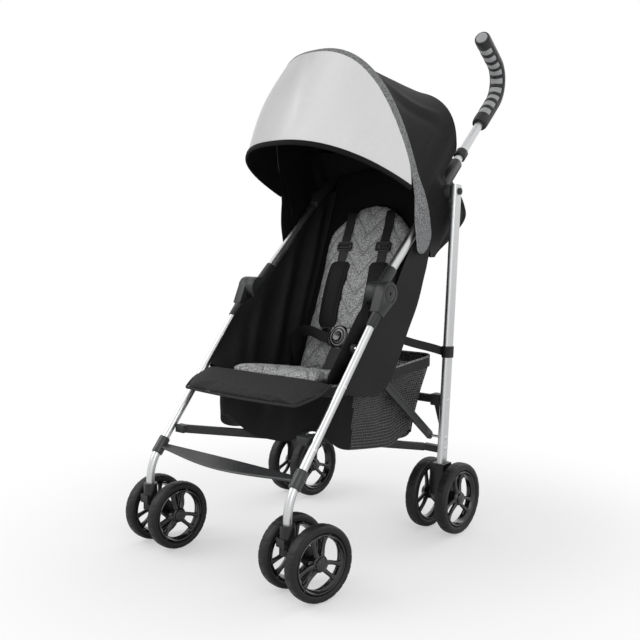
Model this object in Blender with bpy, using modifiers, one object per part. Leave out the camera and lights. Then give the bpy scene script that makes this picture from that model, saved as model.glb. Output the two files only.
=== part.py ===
"""Lightweight umbrella buggy: folding aluminium frame, sling seat, canopy, basket and double wheels.

Metres, +Z up. The front faces -Y, X runs across, and the origin is on the floor under the
middle of the whole object. LEFT is +X and RIGHT is -X.
"""

import math

import bmesh
import bpy
import numpy as np
from mathutils import Euler, Matrix, Vector

# Driving dimensions

GAP = 0.0003                    # between faces that touch
CLOTH = 0.0022
REAR_AXLE_Y = 0.1140            # puts the middle of the overall length on the origin
UPPER_TUBE_R = 0.0095
FRONT_TUBE_R = 0.008
REAR_TUBE = (0.015, 0.027)      # flat-oval section: across, fore and aft
SLEEVE_WALL = 0.0019
LINK_T = 0.0060                 # thickness of the side link

# Across, from the middle outwards. The seat's width drives the rest through these clearances.
SEAT_HALF = 0.125
SEAT_MARGIN = 0.0415            # seat pad to the upper tube's middle
PANEL_MARGIN = 0.0070           # seat pad to the edge of the sling's back panel
HINGE_PLAY = 0.0007             # between the two sleeves of a middle hinge
LEG_CLEAR = 0.0021              # front leg's sleeve to the rear leg
LINK_CLEAR = 0.0035             # side link to the front leg
HOOD_CLEAR = 0.0080             # upper tube to the canopy's bows
BASKET_CLEAR = 0.0060           # side link to the basket's rim
FLAP_CLEAR = 0.0175             # calf flap to the front leg
PAIR_INSET = 0.0050             # rear leg to the middle of its pair of wheels
UPPER_X = SEAT_HALF + SEAT_MARGIN
FRONT_X = UPPER_X + UPPER_TUBE_R + FRONT_TUBE_R + 2 * SLEEVE_WALL + HINGE_PLAY
REAR_X = FRONT_X + FRONT_TUBE_R + SLEEVE_WALL + LEG_CLEAR + REAR_TUBE[0] / 2
LINK_X = FRONT_X - FRONT_TUBE_R - LINK_CLEAR - LINK_T / 2
REAR_PAIR_X = REAR_X - PAIR_INSET
BACK_PANEL_HALF = SEAT_HALF + PANEL_MARGIN
CANOPY_HALF = UPPER_X + UPPER_TUBE_R + HOOD_CLEAR

# The frame in side view: (y from the rear axle, z)
HINGE = (-0.194, 0.518)         # middle hinge of each side
LEG_PIVOT = (0.028, 0.724)      # rear leg on the upper bracket
UPPER_SLOPE = 43.5              # degrees, upper tube from the horizontal
FRONT_SLOPE = 50.8              # degrees, front leg from the horizontal
LINK_REACH = 0.130              # hinge to the side link's pin, along the front leg

HANDLE_KINK = 0.692             # hinge to the handle's corner, along the tube
HANDLE_TURN = 111.1
HANDLE_TOE = 8.3                # degrees that each handle leans out, about its tube
HANDLE_BEND_R = 0.054
HANDLE_END = 0.173              # corner to the handle's end
GRIP_START = 0.531              # hinge to the grip's lower end
GRIP_R = 0.0178
GRIP_CORE_R = 0.0160
GRIP_WINDOWS = 9

BRACKET_HALF = 0.0130           # upper bracket, half its width
BRACKET_SPAN = (0.272, 0.396)   # hinge to the bracket's two ends, along the tube
HUB_R = 0.0235                  # middle hinge housing
UPPER_SLEEVE = 0.066            # hinge to the end of the upper sleeve
LOWER_SLEEVE = 0.080
FOOT_BAR_REACH = 0.403          # hinge to the foot bar's clamp, along the front leg
STEM_TANGENT = 0.020            # from the leg's lower corner to each end of its bend
STEM_Y = -0.477                 # swivel axis
STEM_END_Z = 0.112

REAR_R = 0.0755
FRONT_R = 0.068
TYRE_W = 0.0265
WHEEL_STEPS = 18                # facets round a wheel, one of them flat on the floor
REAR_PAIR_HALF = 0.036
FRONT_PAIR_HALF = 0.0387
TRAIL = 0.038                   # swivel axis to the front axle
CASTER_YAW = {"left": -10.9, "right": -3.4}
RIM_R = 0.0585                  # rim of a rear hub; a front one is smaller by the same ratio
BORE_R = 0.0042
AXLE_R = 0.0040
HOUSING_W = 0.030
HOUSING_TOP = 0.0745            # of a rear wheel housing, above its axle
LEG_FOOT = 0.0285               # lower end of the rear leg, above the axle
PEDAL = (0.040, 0.022)          # brake pedal's pin from the rear axle: back, and up
PEDAL_W = 0.018

BRACE_FRONT_REACH = 0.344       # hinge to the cross brace's rivet, along the front leg
BRACE_CLEAR = 0.0302            # top of the rear tyre to the cross brace's pin
LINK_RISE = 0.0228              # from there up the rear leg to the side link's pin
BRACE_REAR_Z = 2 * REAR_R + BRACE_CLEAR
LINK_Z = BRACE_REAR_Z + LINK_RISE
CROSSBAR_Z = 0.283
GUSSET_CLEAR = 0.0270           # lower end of its gussets to the side link's pin
BRACE_BAR = (0.009, 0.016)      # across, and high
BRACE_LIFT = 0.0035             # of a bar's rear end: up on the right one, down on the left
BRACE_CROSSING = 0.0010         # half the gap between the bars where they cross
BASKET_LIFT = (0.0260, 0.0357)  # of the basket's bottom over the braces, in front and behind
LEVER_BORE_R = 0.0113
LEVER_W = 0.050

SEAT_FRONT = (-0.325, 0.352)    # front edge of the seat base
SEAT_BIGHT = (-0.100, 0.318)    # where seat and back meet
BACK_TILT = 70.0                # backrest from the horizontal, degrees
BACK_LENGTH = 0.440
BACK_PANEL_LENGTH = 0.495
CANOPY_PIVOT = (-0.055, 0.650)  # on the upper tube
BOW_FOOT = (-0.075, 0.717)      # where the bows' planes meet
BOW_REACH = 0.308
BOW_ANGLE = 112.9
BOW_DROP = 0.092                # how far the bow's ends hang below its foot
BOW_HANG = 0.18                 # how far back they slope as they hang
WING_HALF = 0.029
TRIM_HALF = 0.0105
VISOR_REACH = 0.252
VISOR_ANGLE = 158.6
REAR_BOW_TOP = (0.100, 0.957)
REAR_BOW_BASE = (0.092, 0.803)
PAD_BACK = 0.0200               # thickness of the backrest pad and of the seat pad
PAD_SEAT = 0.0180

SIDES = {"left": 1, "right": -1}


# Shared tools

def start_scene():
    for item in list(bpy.data.objects):
        bpy.data.objects.remove(item, do_unlink=True)
    parts = bpy.data.collections.new("lightweight_buggy")
    cutters = bpy.data.collections.new("cutters")
    bpy.context.scene.collection.children.link(parts)
    bpy.context.scene.collection.children.link(cutters)
    return parts, cutters


PARTS, CUTTERS = start_scene()
FINISHES = {
    "satin_aluminium": ((0.78, 0.79, 0.80), 0.32, 1.0),
    "charcoal_plastic": ((0.055, 0.057, 0.058), 0.45, 0.0),
    "black_plastic": ((0.016, 0.016, 0.017), 0.28, 0.0),
    "gloss_black": ((0.012, 0.012, 0.013), 0.10, 0.0),
    "grey_rubber": ((0.33, 0.34, 0.35), 0.62, 0.0),
    "dark_foam_tyre": ((0.035, 0.036, 0.038), 0.55, 0.0),
    "black_fabric": ((0.018, 0.018, 0.020), 0.90, 0.0),
    "charcoal_fabric": ((0.060, 0.060, 0.062), 0.88, 0.0),
    "heather_fabric": ((0.26, 0.26, 0.27), 0.92, 0.0),
    "silver_fabric": ((0.68, 0.67, 0.68), 0.50, 0.0),
    "black_mesh": ((0.022, 0.022, 0.024), 0.85, 0.0),
}


def finish_of(name):
    """The Principled material of that finish."""
    found = bpy.data.materials.get(name)
    if found:
        return found
    colour, roughness, metallic = FINISHES[name]
    made = bpy.data.materials.new(name)
    made.use_nodes = True
    shader = made.node_tree.nodes["Principled BSDF"]
    shader.inputs["Base Color"].default_value = (*colour, 1.0)
    shader.inputs["Roughness"].default_value = roughness
    shader.inputs["Metallic"].default_value = metallic
    return made


def place(name, mesh, finish, location=(0, 0, 0), rotation=(0, 0, 0), parent=None, group=None):
    item = bpy.data.objects.new(name, mesh)
    (group or PARTS).objects.link(item)
    item.parent = parent
    item.location = location
    item.rotation_euler = rotation
    if finish:
        mesh.materials.append(finish_of(finish))
    return item


def empty(name, location, rotation=(0, 0, 0), parent=None):
    item = bpy.data.objects.new(name, None)
    PARTS.objects.link(item)
    item.location = location
    item.rotation_euler = rotation
    item.parent = parent
    return item


def mesh_of(work, name="mesh", smooth=True):
    """A mesh datablock from a bmesh, smooth apart from its sharp edges."""
    bmesh.ops.recalc_face_normals(work, faces=work.faces)
    made = bpy.data.meshes.new(name)
    work.to_mesh(made)
    work.free()
    if smooth:
        made.shade_smooth()
        made.set_sharp_from_angle(angle=math.radians(35))
    return made


def box_mesh(size, centre=(0, 0, 0)):
    work = bmesh.new()
    bmesh.ops.create_cube(work, size=1.0)
    bmesh.ops.scale(work, vec=size, verts=work.verts)
    bmesh.ops.translate(work, vec=centre, verts=work.verts)
    return mesh_of(work, smooth=False)


def cone_mesh(low_r, high_r, depth, sides, centre=(0, 0, 0), axis="Z"):
    """A cylinder or cone about an axis, centred on a point."""
    work = bmesh.new()
    bmesh.ops.create_cone(
        work, cap_ends=True, segments=sides, radius1=low_r, radius2=high_r, depth=depth
    )
    if axis == "X":
        bmesh.ops.rotate(work, matrix=Matrix.Rotation(math.pi / 2, 3, "Y"), verts=work.verts)
    if axis == "Y":
        bmesh.ops.rotate(work, matrix=Matrix.Rotation(math.pi / 2, 3, "X"), verts=work.verts)
    bmesh.ops.translate(work, vec=centre, verts=work.verts)
    return mesh_of(work)


def outline_mesh(points, thickness, axis="Z"):
    """A flat outline, extruded to both sides of its plane. With axis X the outline is (y, z)."""
    curve = bpy.data.curves.new("outline", "CURVE")
    curve.dimensions = "2D"
    curve.fill_mode = "BOTH"
    curve.extrude = thickness / 2
    line = curve.splines.new("POLY")
    line.points.add(len(points) - 1)
    for point, (u, v) in zip(line.points, points):
        point.co = (u, v, 0, 1)
    line.use_cyclic_u = True
    made = baked_curve(curve)
    if axis == "X":
        made.transform(Matrix(((0, 0, 1, 0), (1, 0, 0, 0), (0, 1, 0, 0), (0, 0, 0, 1))))
    return made


def baked_curve(curve):
    """The closed mesh of a curve, with its caps joined on."""
    holder = bpy.data.objects.new("holder", curve)
    CUTTERS.objects.link(holder)
    bpy.context.view_layer.update()
    made = bpy.data.meshes.new_from_object(
        holder.evaluated_get(bpy.context.evaluated_depsgraph_get())
    )
    bpy.data.objects.remove(holder, do_unlink=True)
    work = bmesh.new()
    work.from_mesh(made)
    bmesh.ops.remove_doubles(work, verts=work.verts, dist=1e-6)
    bmesh.ops.recalc_face_normals(work, faces=work.faces)
    work.to_mesh(made)
    work.free()
    made.shade_smooth()
    made.set_sharp_from_angle(angle=math.radians(35))
    return made


def tube_mesh(points, radius, detail=4):
    """A round tube along points, with 4 + 2 * detail sides."""
    curve = bpy.data.curves.new("tube", "CURVE")
    curve.dimensions = "3D"
    curve.bevel_depth = radius
    curve.bevel_resolution = detail
    curve.use_fill_caps = True
    line = curve.splines.new("POLY")
    line.points.add(len(points) - 1)
    for point, place_ in zip(line.points, points):
        point.co = (*place_, 1)
    return baked_curve(curve)


def boolean(item, other, operation, keep=False):
    """Cuts or joins item with other and applies it; other is removed unless kept."""
    change = item.modifiers.new(operation.lower(), "BOOLEAN")
    change.operation = operation
    change.solver = "EXACT"
    change.object = other
    bpy.context.view_layer.update()
    done = bpy.data.meshes.new_from_object(
        item.evaluated_get(bpy.context.evaluated_depsgraph_get())
    )
    item.modifiers.remove(change)
    old = item.data
    item.data = done
    bpy.data.meshes.remove(old)
    if not keep:
        bpy.data.objects.remove(other, do_unlink=True)
    return item


def cutter(mesh, location=(0, 0, 0), rotation=(0, 0, 0), parent=None):
    item = place("cutter", mesh, None, location, rotation, parent, CUTTERS)
    item.hide_render = True
    item.display_type = "WIRE"
    return item


def cut(item, mesh, location=(0, 0, 0), rotation=(0, 0, 0)):
    return boolean(item, cutter(mesh, location, rotation, item.parent), "DIFFERENCE")


def join(item, mesh, location=(0, 0, 0), rotation=(0, 0, 0)):
    return boolean(item, cutter(mesh, location, rotation, item.parent), "UNION")


def arc(centre, radius, start, stop, steps):
    """Points on a circle in a plane, with angles in degrees."""
    angles = np.radians(np.linspace(start, stop, steps + 1))
    return [
        (centre[0] + radius * math.cos(a), centre[1] + radius * math.sin(a)) for a in angles
    ]


def stadium(width, length, steps=5):
    """A slot outline: width along u, length along v."""
    radius = width / 2
    reach = length / 2 - radius
    return arc((0, reach), radius, 0, 180, steps) + arc((0, -reach), radius, 180, 360, steps)


def rounded_box(width, height, radius, steps=2):
    """A rectangle outline with round corners."""
    points = []
    corners = ((1, 1, 0), (-1, 1, 90), (-1, -1, 180), (1, -1, 270))
    for right, up, start in corners:
        centre = (right * (width / 2 - radius), up * (height / 2 - radius))
        points += arc(centre, radius, start, start + 90, steps)
    return points


def side(point):
    """A side-view point as (y, z) in the object's frame."""
    return np.array([REAR_AXLE_Y + point[0], point[1]])


def toward(degrees):
    """The side-view direction at an angle from +Y."""
    return np.array([math.cos(math.radians(degrees)), math.sin(math.radians(degrees))])


def lean(direction):
    """Turn about X that brings +Z onto a side-view direction."""
    return math.atan2(-direction[0], direction[1])


def along(origin, direction, distance):
    return origin + direction * distance


def put(x, point):
    return (x, float(point[0]), float(point[1]))


# The side-view skeleton

HINGE_P = side(HINGE)
PIVOT_P = side(LEG_PIVOT)
AXLE_P = side((0.0, REAR_R))
UPPER_DIR = toward(UPPER_SLOPE)
FRONT_DIR = toward(180 + FRONT_SLOPE)
LINK_FRONT_P = along(HINGE_P, FRONT_DIR, LINK_REACH)
BRACE_FRONT_P = along(HINGE_P, FRONT_DIR, BRACE_FRONT_REACH)
FOOT_BAR_P = along(HINGE_P, FRONT_DIR, FOOT_BAR_REACH)
LEG_DIR = (AXLE_P + np.array([-0.018, 0.020]) - PIVOT_P) / np.linalg.norm(
    AXLE_P + np.array([-0.018, 0.020]) - PIVOT_P
)
STEM_P = side((STEM_Y, STEM_END_Z))
STEM_CORNER_P = along(HINGE_P, FRONT_DIR, (STEM_P[0] - HINGE_P[0]) / FRONT_DIR[0])
PEDAL_P = AXLE_P + np.array(PEDAL)


def leg_at(height):
    """The point of the rear leg's centre line at a height."""
    return along(PIVOT_P, LEG_DIR, (height - PIVOT_P[1]) / LEG_DIR[1])


LINK_P = leg_at(LINK_Z)
BRACE_REAR_P = leg_at(BRACE_REAR_Z)
CROSSBAR_P = leg_at(CROSSBAR_Z)


def over_braces(y, lift):
    """A side-view point at y, measured from the rear axle, above the braces' middle line."""
    point = side((y, 0.0))
    share = (BRACE_REAR_P[0] - point[0]) / (BRACE_REAR_P[0] - BRACE_FRONT_P[0])
    rise = (BRACE_FRONT_P[1] - BRACE_REAR_P[1]) * share
    return np.array([point[0], BRACE_REAR_P[1] + rise + lift])


# Handles: tube, two-shot grip and end cap

def handle_path(start, stop_short=0.0, steps=6):
    """The tube's centre line from a distance along it to the handle's end."""
    corner = along(HINGE_P, UPPER_DIR, HANDLE_KINK)
    half = math.radians(HANDLE_TURN / 2)
    tangent = HANDLE_BEND_R * math.tan(half)
    out = toward(UPPER_SLOPE + HANDLE_TURN)
    bend_start = along(corner, UPPER_DIR, -tangent)
    normal = toward(UPPER_SLOPE + 90)
    centre = bend_start + normal * HANDLE_BEND_R
    angles = np.linspace(UPPER_SLOPE - 90, UPPER_SLOPE - 90 + HANDLE_TURN, steps + 1)
    bend = [centre + toward(a) * HANDLE_BEND_R for a in angles]
    return [along(HINGE_P, UPPER_DIR, start)] + bend + [
        along(corner, out, HANDLE_END - stop_short)
    ]


def path_point(path, distance):
    """Point and direction at a distance along a side-view path."""
    for here, there in zip(path, path[1:]):
        step = np.linalg.norm(there - here)
        if distance <= step:
            return here + (there - here) * distance / step, (there - here) / step
        distance -= step
    return path[-1], (path[-1] - path[-2]) / np.linalg.norm(path[-1] - path[-2])


def path_length(path):
    return sum(float(np.linalg.norm(b - a)) for a, b in zip(path, path[1:]))


def handle(which):
    x = SIDES[which] * UPPER_X
    socket = 0.040
    tube_top = GRIP_START + socket - 0.002
    tube_run = [along(HINGE_P, UPPER_DIR, HUB_R + 0.004), along(HINGE_P, UPPER_DIR, tube_top)]
    place("upper_tube_" + which, tube_mesh([put(x, p) for p in tube_run], UPPER_TUBE_R, 4),
          "satin_aluminium")
    path = handle_path(GRIP_START, 0.004)
    core_path = [p.copy() for p in path]
    skin = place("grip_skin_" + which, tube_mesh([put(x, p) for p in path], GRIP_R, 4),
                 "charcoal_plastic")
    hollow = handle_path(GRIP_START - 0.004, -0.004)
    cut(skin, tube_mesh([put(x, p) for p in hollow], GRIP_CORE_R + GAP, 4))
    length = path_length(path)
    out = toward(UPPER_SLOPE + HANDLE_TURN)
    first, last = 0.022, length - 0.020
    pitch = (last - first) / GRIP_WINDOWS
    for index in range(GRIP_WINDOWS):
        point, direction = path_point(path, first + pitch * (index + 0.5))
        normal = np.array([-direction[1], direction[0]])
        straight = min(np.linalg.norm(direction - UPPER_DIR), np.linalg.norm(direction - out))
        window = box_mesh((0.030, 2 * GRIP_R, pitch * (0.66 if straight < 0.01 else 0.46)))
        centre = point + normal * (GRIP_R + 0.003)
        cut(skin, window, put(x + SIDES[which] * 0.006, centre), (lean(direction), 0, 0))
    core_path[0] = along(HINGE_P, UPPER_DIR, GRIP_START + 0.001)
    core_path[-1] = core_path[-1] + (core_path[-1] - core_path[-2]) / np.linalg.norm(
        core_path[-1] - core_path[-2]) * 0.003
    core = place("grip_core_" + which, tube_mesh([put(x, p) for p in core_path], GRIP_CORE_R, 4),
                 "grey_rubber")
    middle = along(HINGE_P, UPPER_DIR, GRIP_START + socket / 2)
    cut(core, cone_mesh(UPPER_TUBE_R + GAP, UPPER_TUBE_R + GAP, socket, 16),
        put(x, middle), (lean(UPPER_DIR), 0, 0))
    on_axis = Matrix.Translation(put(x, HINGE_P))
    lean_out = Matrix.Rotation(math.radians(SIDES[which] * HANDLE_TOE), 4, (0, *UPPER_DIR))
    for item in (skin, core):
        item.data.transform(on_axis @ lean_out @ on_axis.inverted())


# Upper bracket that carries the rear leg, and the canopy clip above it

def upper_bracket(which):
    sign = SIDES[which]
    x = sign * UPPER_X
    low, high = BRACKET_SPAN
    on_tube = along(HINGE_P, UPPER_DIR, (low + high) / 2)
    length = high - low
    tilt = (lean(UPPER_DIR), 0, 0)
    outer = BRACKET_HALF
    body = place("upper_bracket_" + which,
                 outline_mesh(rounded_box(2 * outer, 2 * outer, 0.009), length),
                 "charcoal_plastic", put(x, on_tube), tilt)
    ear_in = UPPER_X + UPPER_TUBE_R + 0.001
    ear_out = REAR_X - REAR_TUBE[0] / 2 - GAP
    plate = outline_mesh(arc((0, 0), 0.0165, 0, 330, 11), ear_out - ear_in, "X")
    join(body, plate, (sign * (ear_in + ear_out) / 2, *PIVOT_P))
    join(body, cone_mesh(0.0042, 0.0042, REAR_TUBE[0] + 0.008, 12, axis="X"),
         (sign * (REAR_X + 0.001), *PIVOT_P))
    join(body, cone_mesh(0.0075, 0.0075, 0.003, 12, axis="X"),
         (sign * (REAR_X + REAR_TUBE[0] / 2 + GAP + 0.0015), *PIVOT_P))
    cut(body, cone_mesh(UPPER_TUBE_R + GAP, UPPER_TUBE_R + GAP, length + 0.02, 16),
        put(x, on_tube), tilt)


def canopy_clip(which):
    """Ring round the tube above the bracket, with the ear that the canopy's rear bow sits in."""
    sign = SIDES[which]
    spot = along(HINGE_P, UPPER_DIR, 0.424)
    tilt = (lean(UPPER_DIR), 0, 0)
    reach = CANOPY_HALF - 0.0022 - CLOTH - UPPER_X - 0.0005
    ring = place("canopy_clip_" + which, cone_mesh(0.0135, 0.0135, 0.019, 16),
                 "charcoal_plastic", put(sign * UPPER_X, spot), tilt)
    join(ring, box_mesh((reach, 0.012, 0.012)), put(sign * (UPPER_X + reach / 2), spot), tilt)
    cut(ring, cone_mesh(UPPER_TUBE_R + GAP, UPPER_TUBE_R + GAP, 0.03, 16),
        put(sign * UPPER_X, spot), tilt)


# Middle hinge: an inner housing on the upper tube and an outer one on the front leg

def hinge_housings(which):
    sign = SIDES[which]
    split = (UPPER_X + UPPER_TUBE_R + SLEEVE_WALL + FRONT_X - FRONT_TUBE_R - SLEEVE_WALL) / 2
    inner_in = UPPER_X - UPPER_TUBE_R - SLEEVE_WALL
    outer_out = FRONT_X + FRONT_TUBE_R + SLEEVE_WALL + 0.0006
    pin_r = 0.0050

    sleeve_r = UPPER_TUBE_R + SLEEVE_WALL
    inner = place("hinge_upper_" + which,
                  outline_mesh(arc((0, 0), HUB_R, 0, 337.5, 15), split - GAP / 2 - inner_in, "X"),
                  "charcoal_plastic", (sign * (inner_in + split - GAP / 2) / 2, *HINGE_P))
    sleeve_mid = along(HINGE_P, UPPER_DIR, UPPER_SLEEVE / 2 + 0.006)
    join(inner, cone_mesh(sleeve_r, sleeve_r, UPPER_SLEEVE - 0.012, 16),
         put(sign * UPPER_X, sleeve_mid), (lean(UPPER_DIR), 0, 0))
    tube_mid = along(HINGE_P, UPPER_DIR, (UPPER_SLEEVE + HUB_R + 0.0037) / 2 + 0.01)
    cut(inner, cone_mesh(UPPER_TUBE_R + GAP, UPPER_TUBE_R + GAP,
                         UPPER_SLEEVE + 0.02 - HUB_R - 0.0037, 16),
        put(sign * UPPER_X, tube_mid), (lean(UPPER_DIR), 0, 0))
    cut(inner, cone_mesh(pin_r + 0.0002, pin_r + 0.0002, 0.016, 12, axis="X"),
        (sign * split, *HINGE_P))

    angle = math.degrees(math.atan2(FRONT_DIR[1], FRONT_DIR[0]))
    teardrop = [p for p in arc((0, 0), HUB_R, angle + 60, angle + 300, 12)]
    nose = FRONT_DIR * (HUB_R + 0.026)
    wing = np.array([-FRONT_DIR[1], FRONT_DIR[0]]) * 0.0102
    teardrop += [tuple(nose - wing), tuple(nose + wing)]
    outer = place("hinge_lower_" + which,
                  outline_mesh(teardrop, outer_out - split - GAP / 2, "X"),
                  "charcoal_plastic", (sign * (outer_out + split + GAP / 2) / 2, *HINGE_P))
    lower_r = FRONT_TUBE_R + SLEEVE_WALL
    sleeve_mid = along(HINGE_P, FRONT_DIR, LOWER_SLEEVE / 2 + 0.010)
    join(outer, cone_mesh(lower_r, lower_r, LOWER_SLEEVE - 0.020, 16),
         put(sign * FRONT_X, sleeve_mid), (lean(FRONT_DIR), 0, 0))
    cut_mid = along(HINGE_P, FRONT_DIR, LOWER_SLEEVE / 2 + 0.023)
    cut(outer, cone_mesh(FRONT_TUBE_R + GAP, FRONT_TUBE_R + GAP, LOWER_SLEEVE - 0.014, 16),
        put(sign * FRONT_X, cut_mid), (lean(FRONT_DIR), 0, 0))
    join(outer, cone_mesh(pin_r, pin_r, 0.012, 12, axis="X"),
         (sign * (split - 0.0010), *HINGE_P))
    groove = cutter(cone_mesh(0.0175, 0.0175, 0.0024, 20, axis="X"),
                    (sign * outer_out, *HINGE_P), (0, 0, 0), outer.parent)
    boolean(groove, cutter(cone_mesh(0.0160, 0.0160, 0.004, 20, axis="X"),
                           (sign * outer_out, *HINGE_P)), "DIFFERENCE")
    boolean(outer, groove, "DIFFERENCE")
    cut(outer, cone_mesh(0.0032, 0.0032, 0.008, 10, axis="X"), (sign * outer_out, *HINGE_P))


# Front frame

def front_leg(which):
    """Tube from the hinge to the caster: straight, then bent down to the upright stem."""
    x = SIDES[which] * FRONT_X
    start = along(HINGE_P, FRONT_DIR, 0.030 + GAP)
    bend_in = along(STEM_CORNER_P, FRONT_DIR, -STEM_TANGENT)
    bend_out = STEM_CORNER_P - np.array([0.0, STEM_TANGENT])
    bend = [bend_in * (1 - t) ** 2 + 2 * STEM_CORNER_P * t * (1 - t) + bend_out * t ** 2
            for t in (0.0, 0.2, 0.4, 0.6, 0.8, 1.0)]
    route = [start] + bend + [np.array([STEM_P[0], STEM_END_Z])]
    leg = place("front_leg_" + which, tube_mesh([put(x, p) for p in route], FRONT_TUBE_R, 4),
                "satin_aluminium")
    inward = -SIDES[which]
    length = FRONT_X - FRONT_TUBE_R - LINK_X - LINK_T / 2 - GAP + 0.004
    join(leg, cone_mesh(0.0050, 0.0050, length, 12, axis="X"),
         put(x + inward * (FRONT_TUBE_R - 0.004 + length / 2), LINK_FRONT_P))
    join(leg, cone_mesh(0.0042, 0.0042, 0.0030, 10, axis="X"),
         put(x - inward * (FRONT_TUBE_R + 0.0002), along(HINGE_P, FRONT_DIR, 0.213)))


def foot_bar():
    """One moulded strap: a clamp round each leg and a crescent tread between them."""
    tilt = (lean(FRONT_DIR), 0, 0)
    clamp_r = FRONT_TUBE_R + 0.0032
    inner = FRONT_X - FRONT_TUBE_R
    tread_half = inner + 0.001
    outline = []
    for u in np.linspace(-1, 1, 13):
        outline.append((u * tread_half, 0.008 + 0.002 * math.cos(u * math.pi / 2)))
    for u in np.linspace(1, -1, 13):
        outline.append((u * tread_half, -0.008 - 0.020 * math.cos(u * math.pi / 2) ** 1.3))
    tread = place("foot_bar", outline_mesh(outline, 0.0055), "charcoal_plastic",
                  (0, *FOOT_BAR_P), (math.radians(18), 0, 0))
    for sign in SIDES.values():
        join(tread, cone_mesh(clamp_r, clamp_r, 0.036, 16), put(sign * FRONT_X, FOOT_BAR_P), tilt)
        cut(tread, cone_mesh(FRONT_TUBE_R + GAP, FRONT_TUBE_R + GAP, 0.06, 16),
            put(sign * FRONT_X, FOOT_BAR_P), tilt)
    return tread


# Rear frame

def rear_leg(which):
    """Flat-oval tube from the bracket's pin down into the wheel housing."""
    x = SIDES[which] * REAR_X
    length = (PIVOT_P[1] - AXLE_P[1] - LEG_FOOT) / -LEG_DIR[1] + 0.014
    middle = along(PIVOT_P, LEG_DIR, length / 2 - 0.014)
    outline = stadium(REAR_TUBE[0], REAR_TUBE[1], 5)
    leg = place("rear_leg_" + which, outline_mesh(outline, length), "satin_aluminium",
                put(x, middle), (lean(LEG_DIR), 0, 0))
    cut(leg, cone_mesh(0.0042 + GAP, 0.0042 + GAP, 0.04, 12, axis="X"), put(x, PIVOT_P))
    inward = -SIDES[which]
    pin = REAR_X - REAR_TUBE[0] / 2 - LINK_X + 0.006
    join(leg, cone_mesh(0.003, 0.003, pin, 10, axis="X"),
         put(x + inward * (REAR_TUBE[0] / 2 - 0.003 + pin / 2), LINK_P))
    join(leg, cone_mesh(0.0045, 0.0045, 0.003, 10, axis="X"),
         put(x - inward * (REAR_TUBE[0] / 2 + 0.0002), LINK_P))


def rear_housing(which):
    """Moulded housing between a pair of rear wheels: the leg's socket, the axle, and two ears
    with a pin for the brake pedal."""
    sign = SIDES[which]
    centre_x = sign * (REAR_X - 0.001)
    top = leg_at(AXLE_P[1] + HOUSING_TOP) - AXLE_P
    heel = PEDAL_P - AXLE_P
    outline = [tuple(top + (-0.0165, 0.0)), tuple(leg_at(AXLE_P[1] + 0.0095) - AXLE_P + (-0.017, 0)),
               (-0.014, -0.012), (0.0, -0.018), (0.016, -0.012),
               tuple(heel + (0.004, -0.008)), tuple(heel + (0.0085, 0.0)),
               tuple(heel + (0.004, 0.008)), tuple(heel + (-0.012, 0.010)),
               tuple(top + (0.0175, -0.014)), tuple(top + (0.0165, 0.0))]
    shell = place("rear_housing_" + which, outline_mesh(outline, HOUSING_W, "X"),
                  "black_plastic", (centre_x, *AXLE_P))
    depth = 0.080
    socket = outline_mesh(stadium(REAR_TUBE[0] + 2 * GAP, REAR_TUBE[1] + 2 * GAP, 5), depth)
    middle = leg_at(AXLE_P[1] + LEG_FOOT - 0.0005 + depth / 2)
    cut(shell, socket, put(sign * REAR_X, middle), (lean(LEG_DIR), 0, 0))
    notch = (PEDAL_W + 2 * GAP, 0.040, 0.060)
    cut(shell, box_mesh(notch), (centre_x, PEDAL_P[0] + 0.0085, PEDAL_P[1]))
    join(shell, cone_mesh(0.0025, 0.0025, HOUSING_W - 0.002, 10, axis="X"),
         (centre_x, *PEDAL_P))
    reach = REAR_PAIR_HALF + 0.0105
    join(shell, cone_mesh(AXLE_R, AXLE_R, 2 * reach, 12, axis="X"),
         (sign * REAR_PAIR_X, *AXLE_P))


def brake_pedal(which):
    """Foot pedal between the housing's ears."""
    sign = SIDES[which]
    outline = [(-0.0070, -0.006), (0.004, -0.007), (0.030, 0.006), (0.040, 0.012),
               (0.036, 0.017), (0.012, 0.010), (-0.004, 0.009), (-0.0070, 0.004)]
    pedal = place("brake_pedal_" + which, outline_mesh(outline, PEDAL_W, "X"), "black_plastic",
                  (sign * (REAR_X - 0.001), *PEDAL_P))
    toe = [(0.026, 0.0042), (0.040, 0.012), (0.036, 0.017), (0.024, 0.0128)]
    join(pedal, outline_mesh(toe, 0.034, "X"), (sign * (REAR_X - 0.001), *PEDAL_P))
    cut(pedal, cone_mesh(0.0025 + GAP, 0.0025 + GAP, 0.04, 12, axis="X"),
        (sign * (REAR_X - 0.001), *PEDAL_P))


def side_link(which):
    """Flat bar from the rear leg up to the front leg."""
    sign = SIDES[which]
    run = LINK_FRONT_P - LINK_P
    length = float(np.linalg.norm(run))
    middle = (LINK_FRONT_P + LINK_P) / 2
    bar = place("side_link_" + which, outline_mesh(stadium(0.018, length + 0.018, 5), LINK_T, "X"),
                "charcoal_plastic", put(sign * LINK_X, middle), (lean(run) , 0, 0))
    rib = outline_mesh(stadium(0.008, length - 0.050, 4), 0.0016, "X")
    cut(bar, rib, put(sign * (LINK_X + LINK_T / 2), middle), (lean(run), 0, 0))
    cut(bar, cone_mesh(0.003 + GAP, 0.003 + GAP, 0.02, 12, axis="X"), put(sign * LINK_X, LINK_P))


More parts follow.
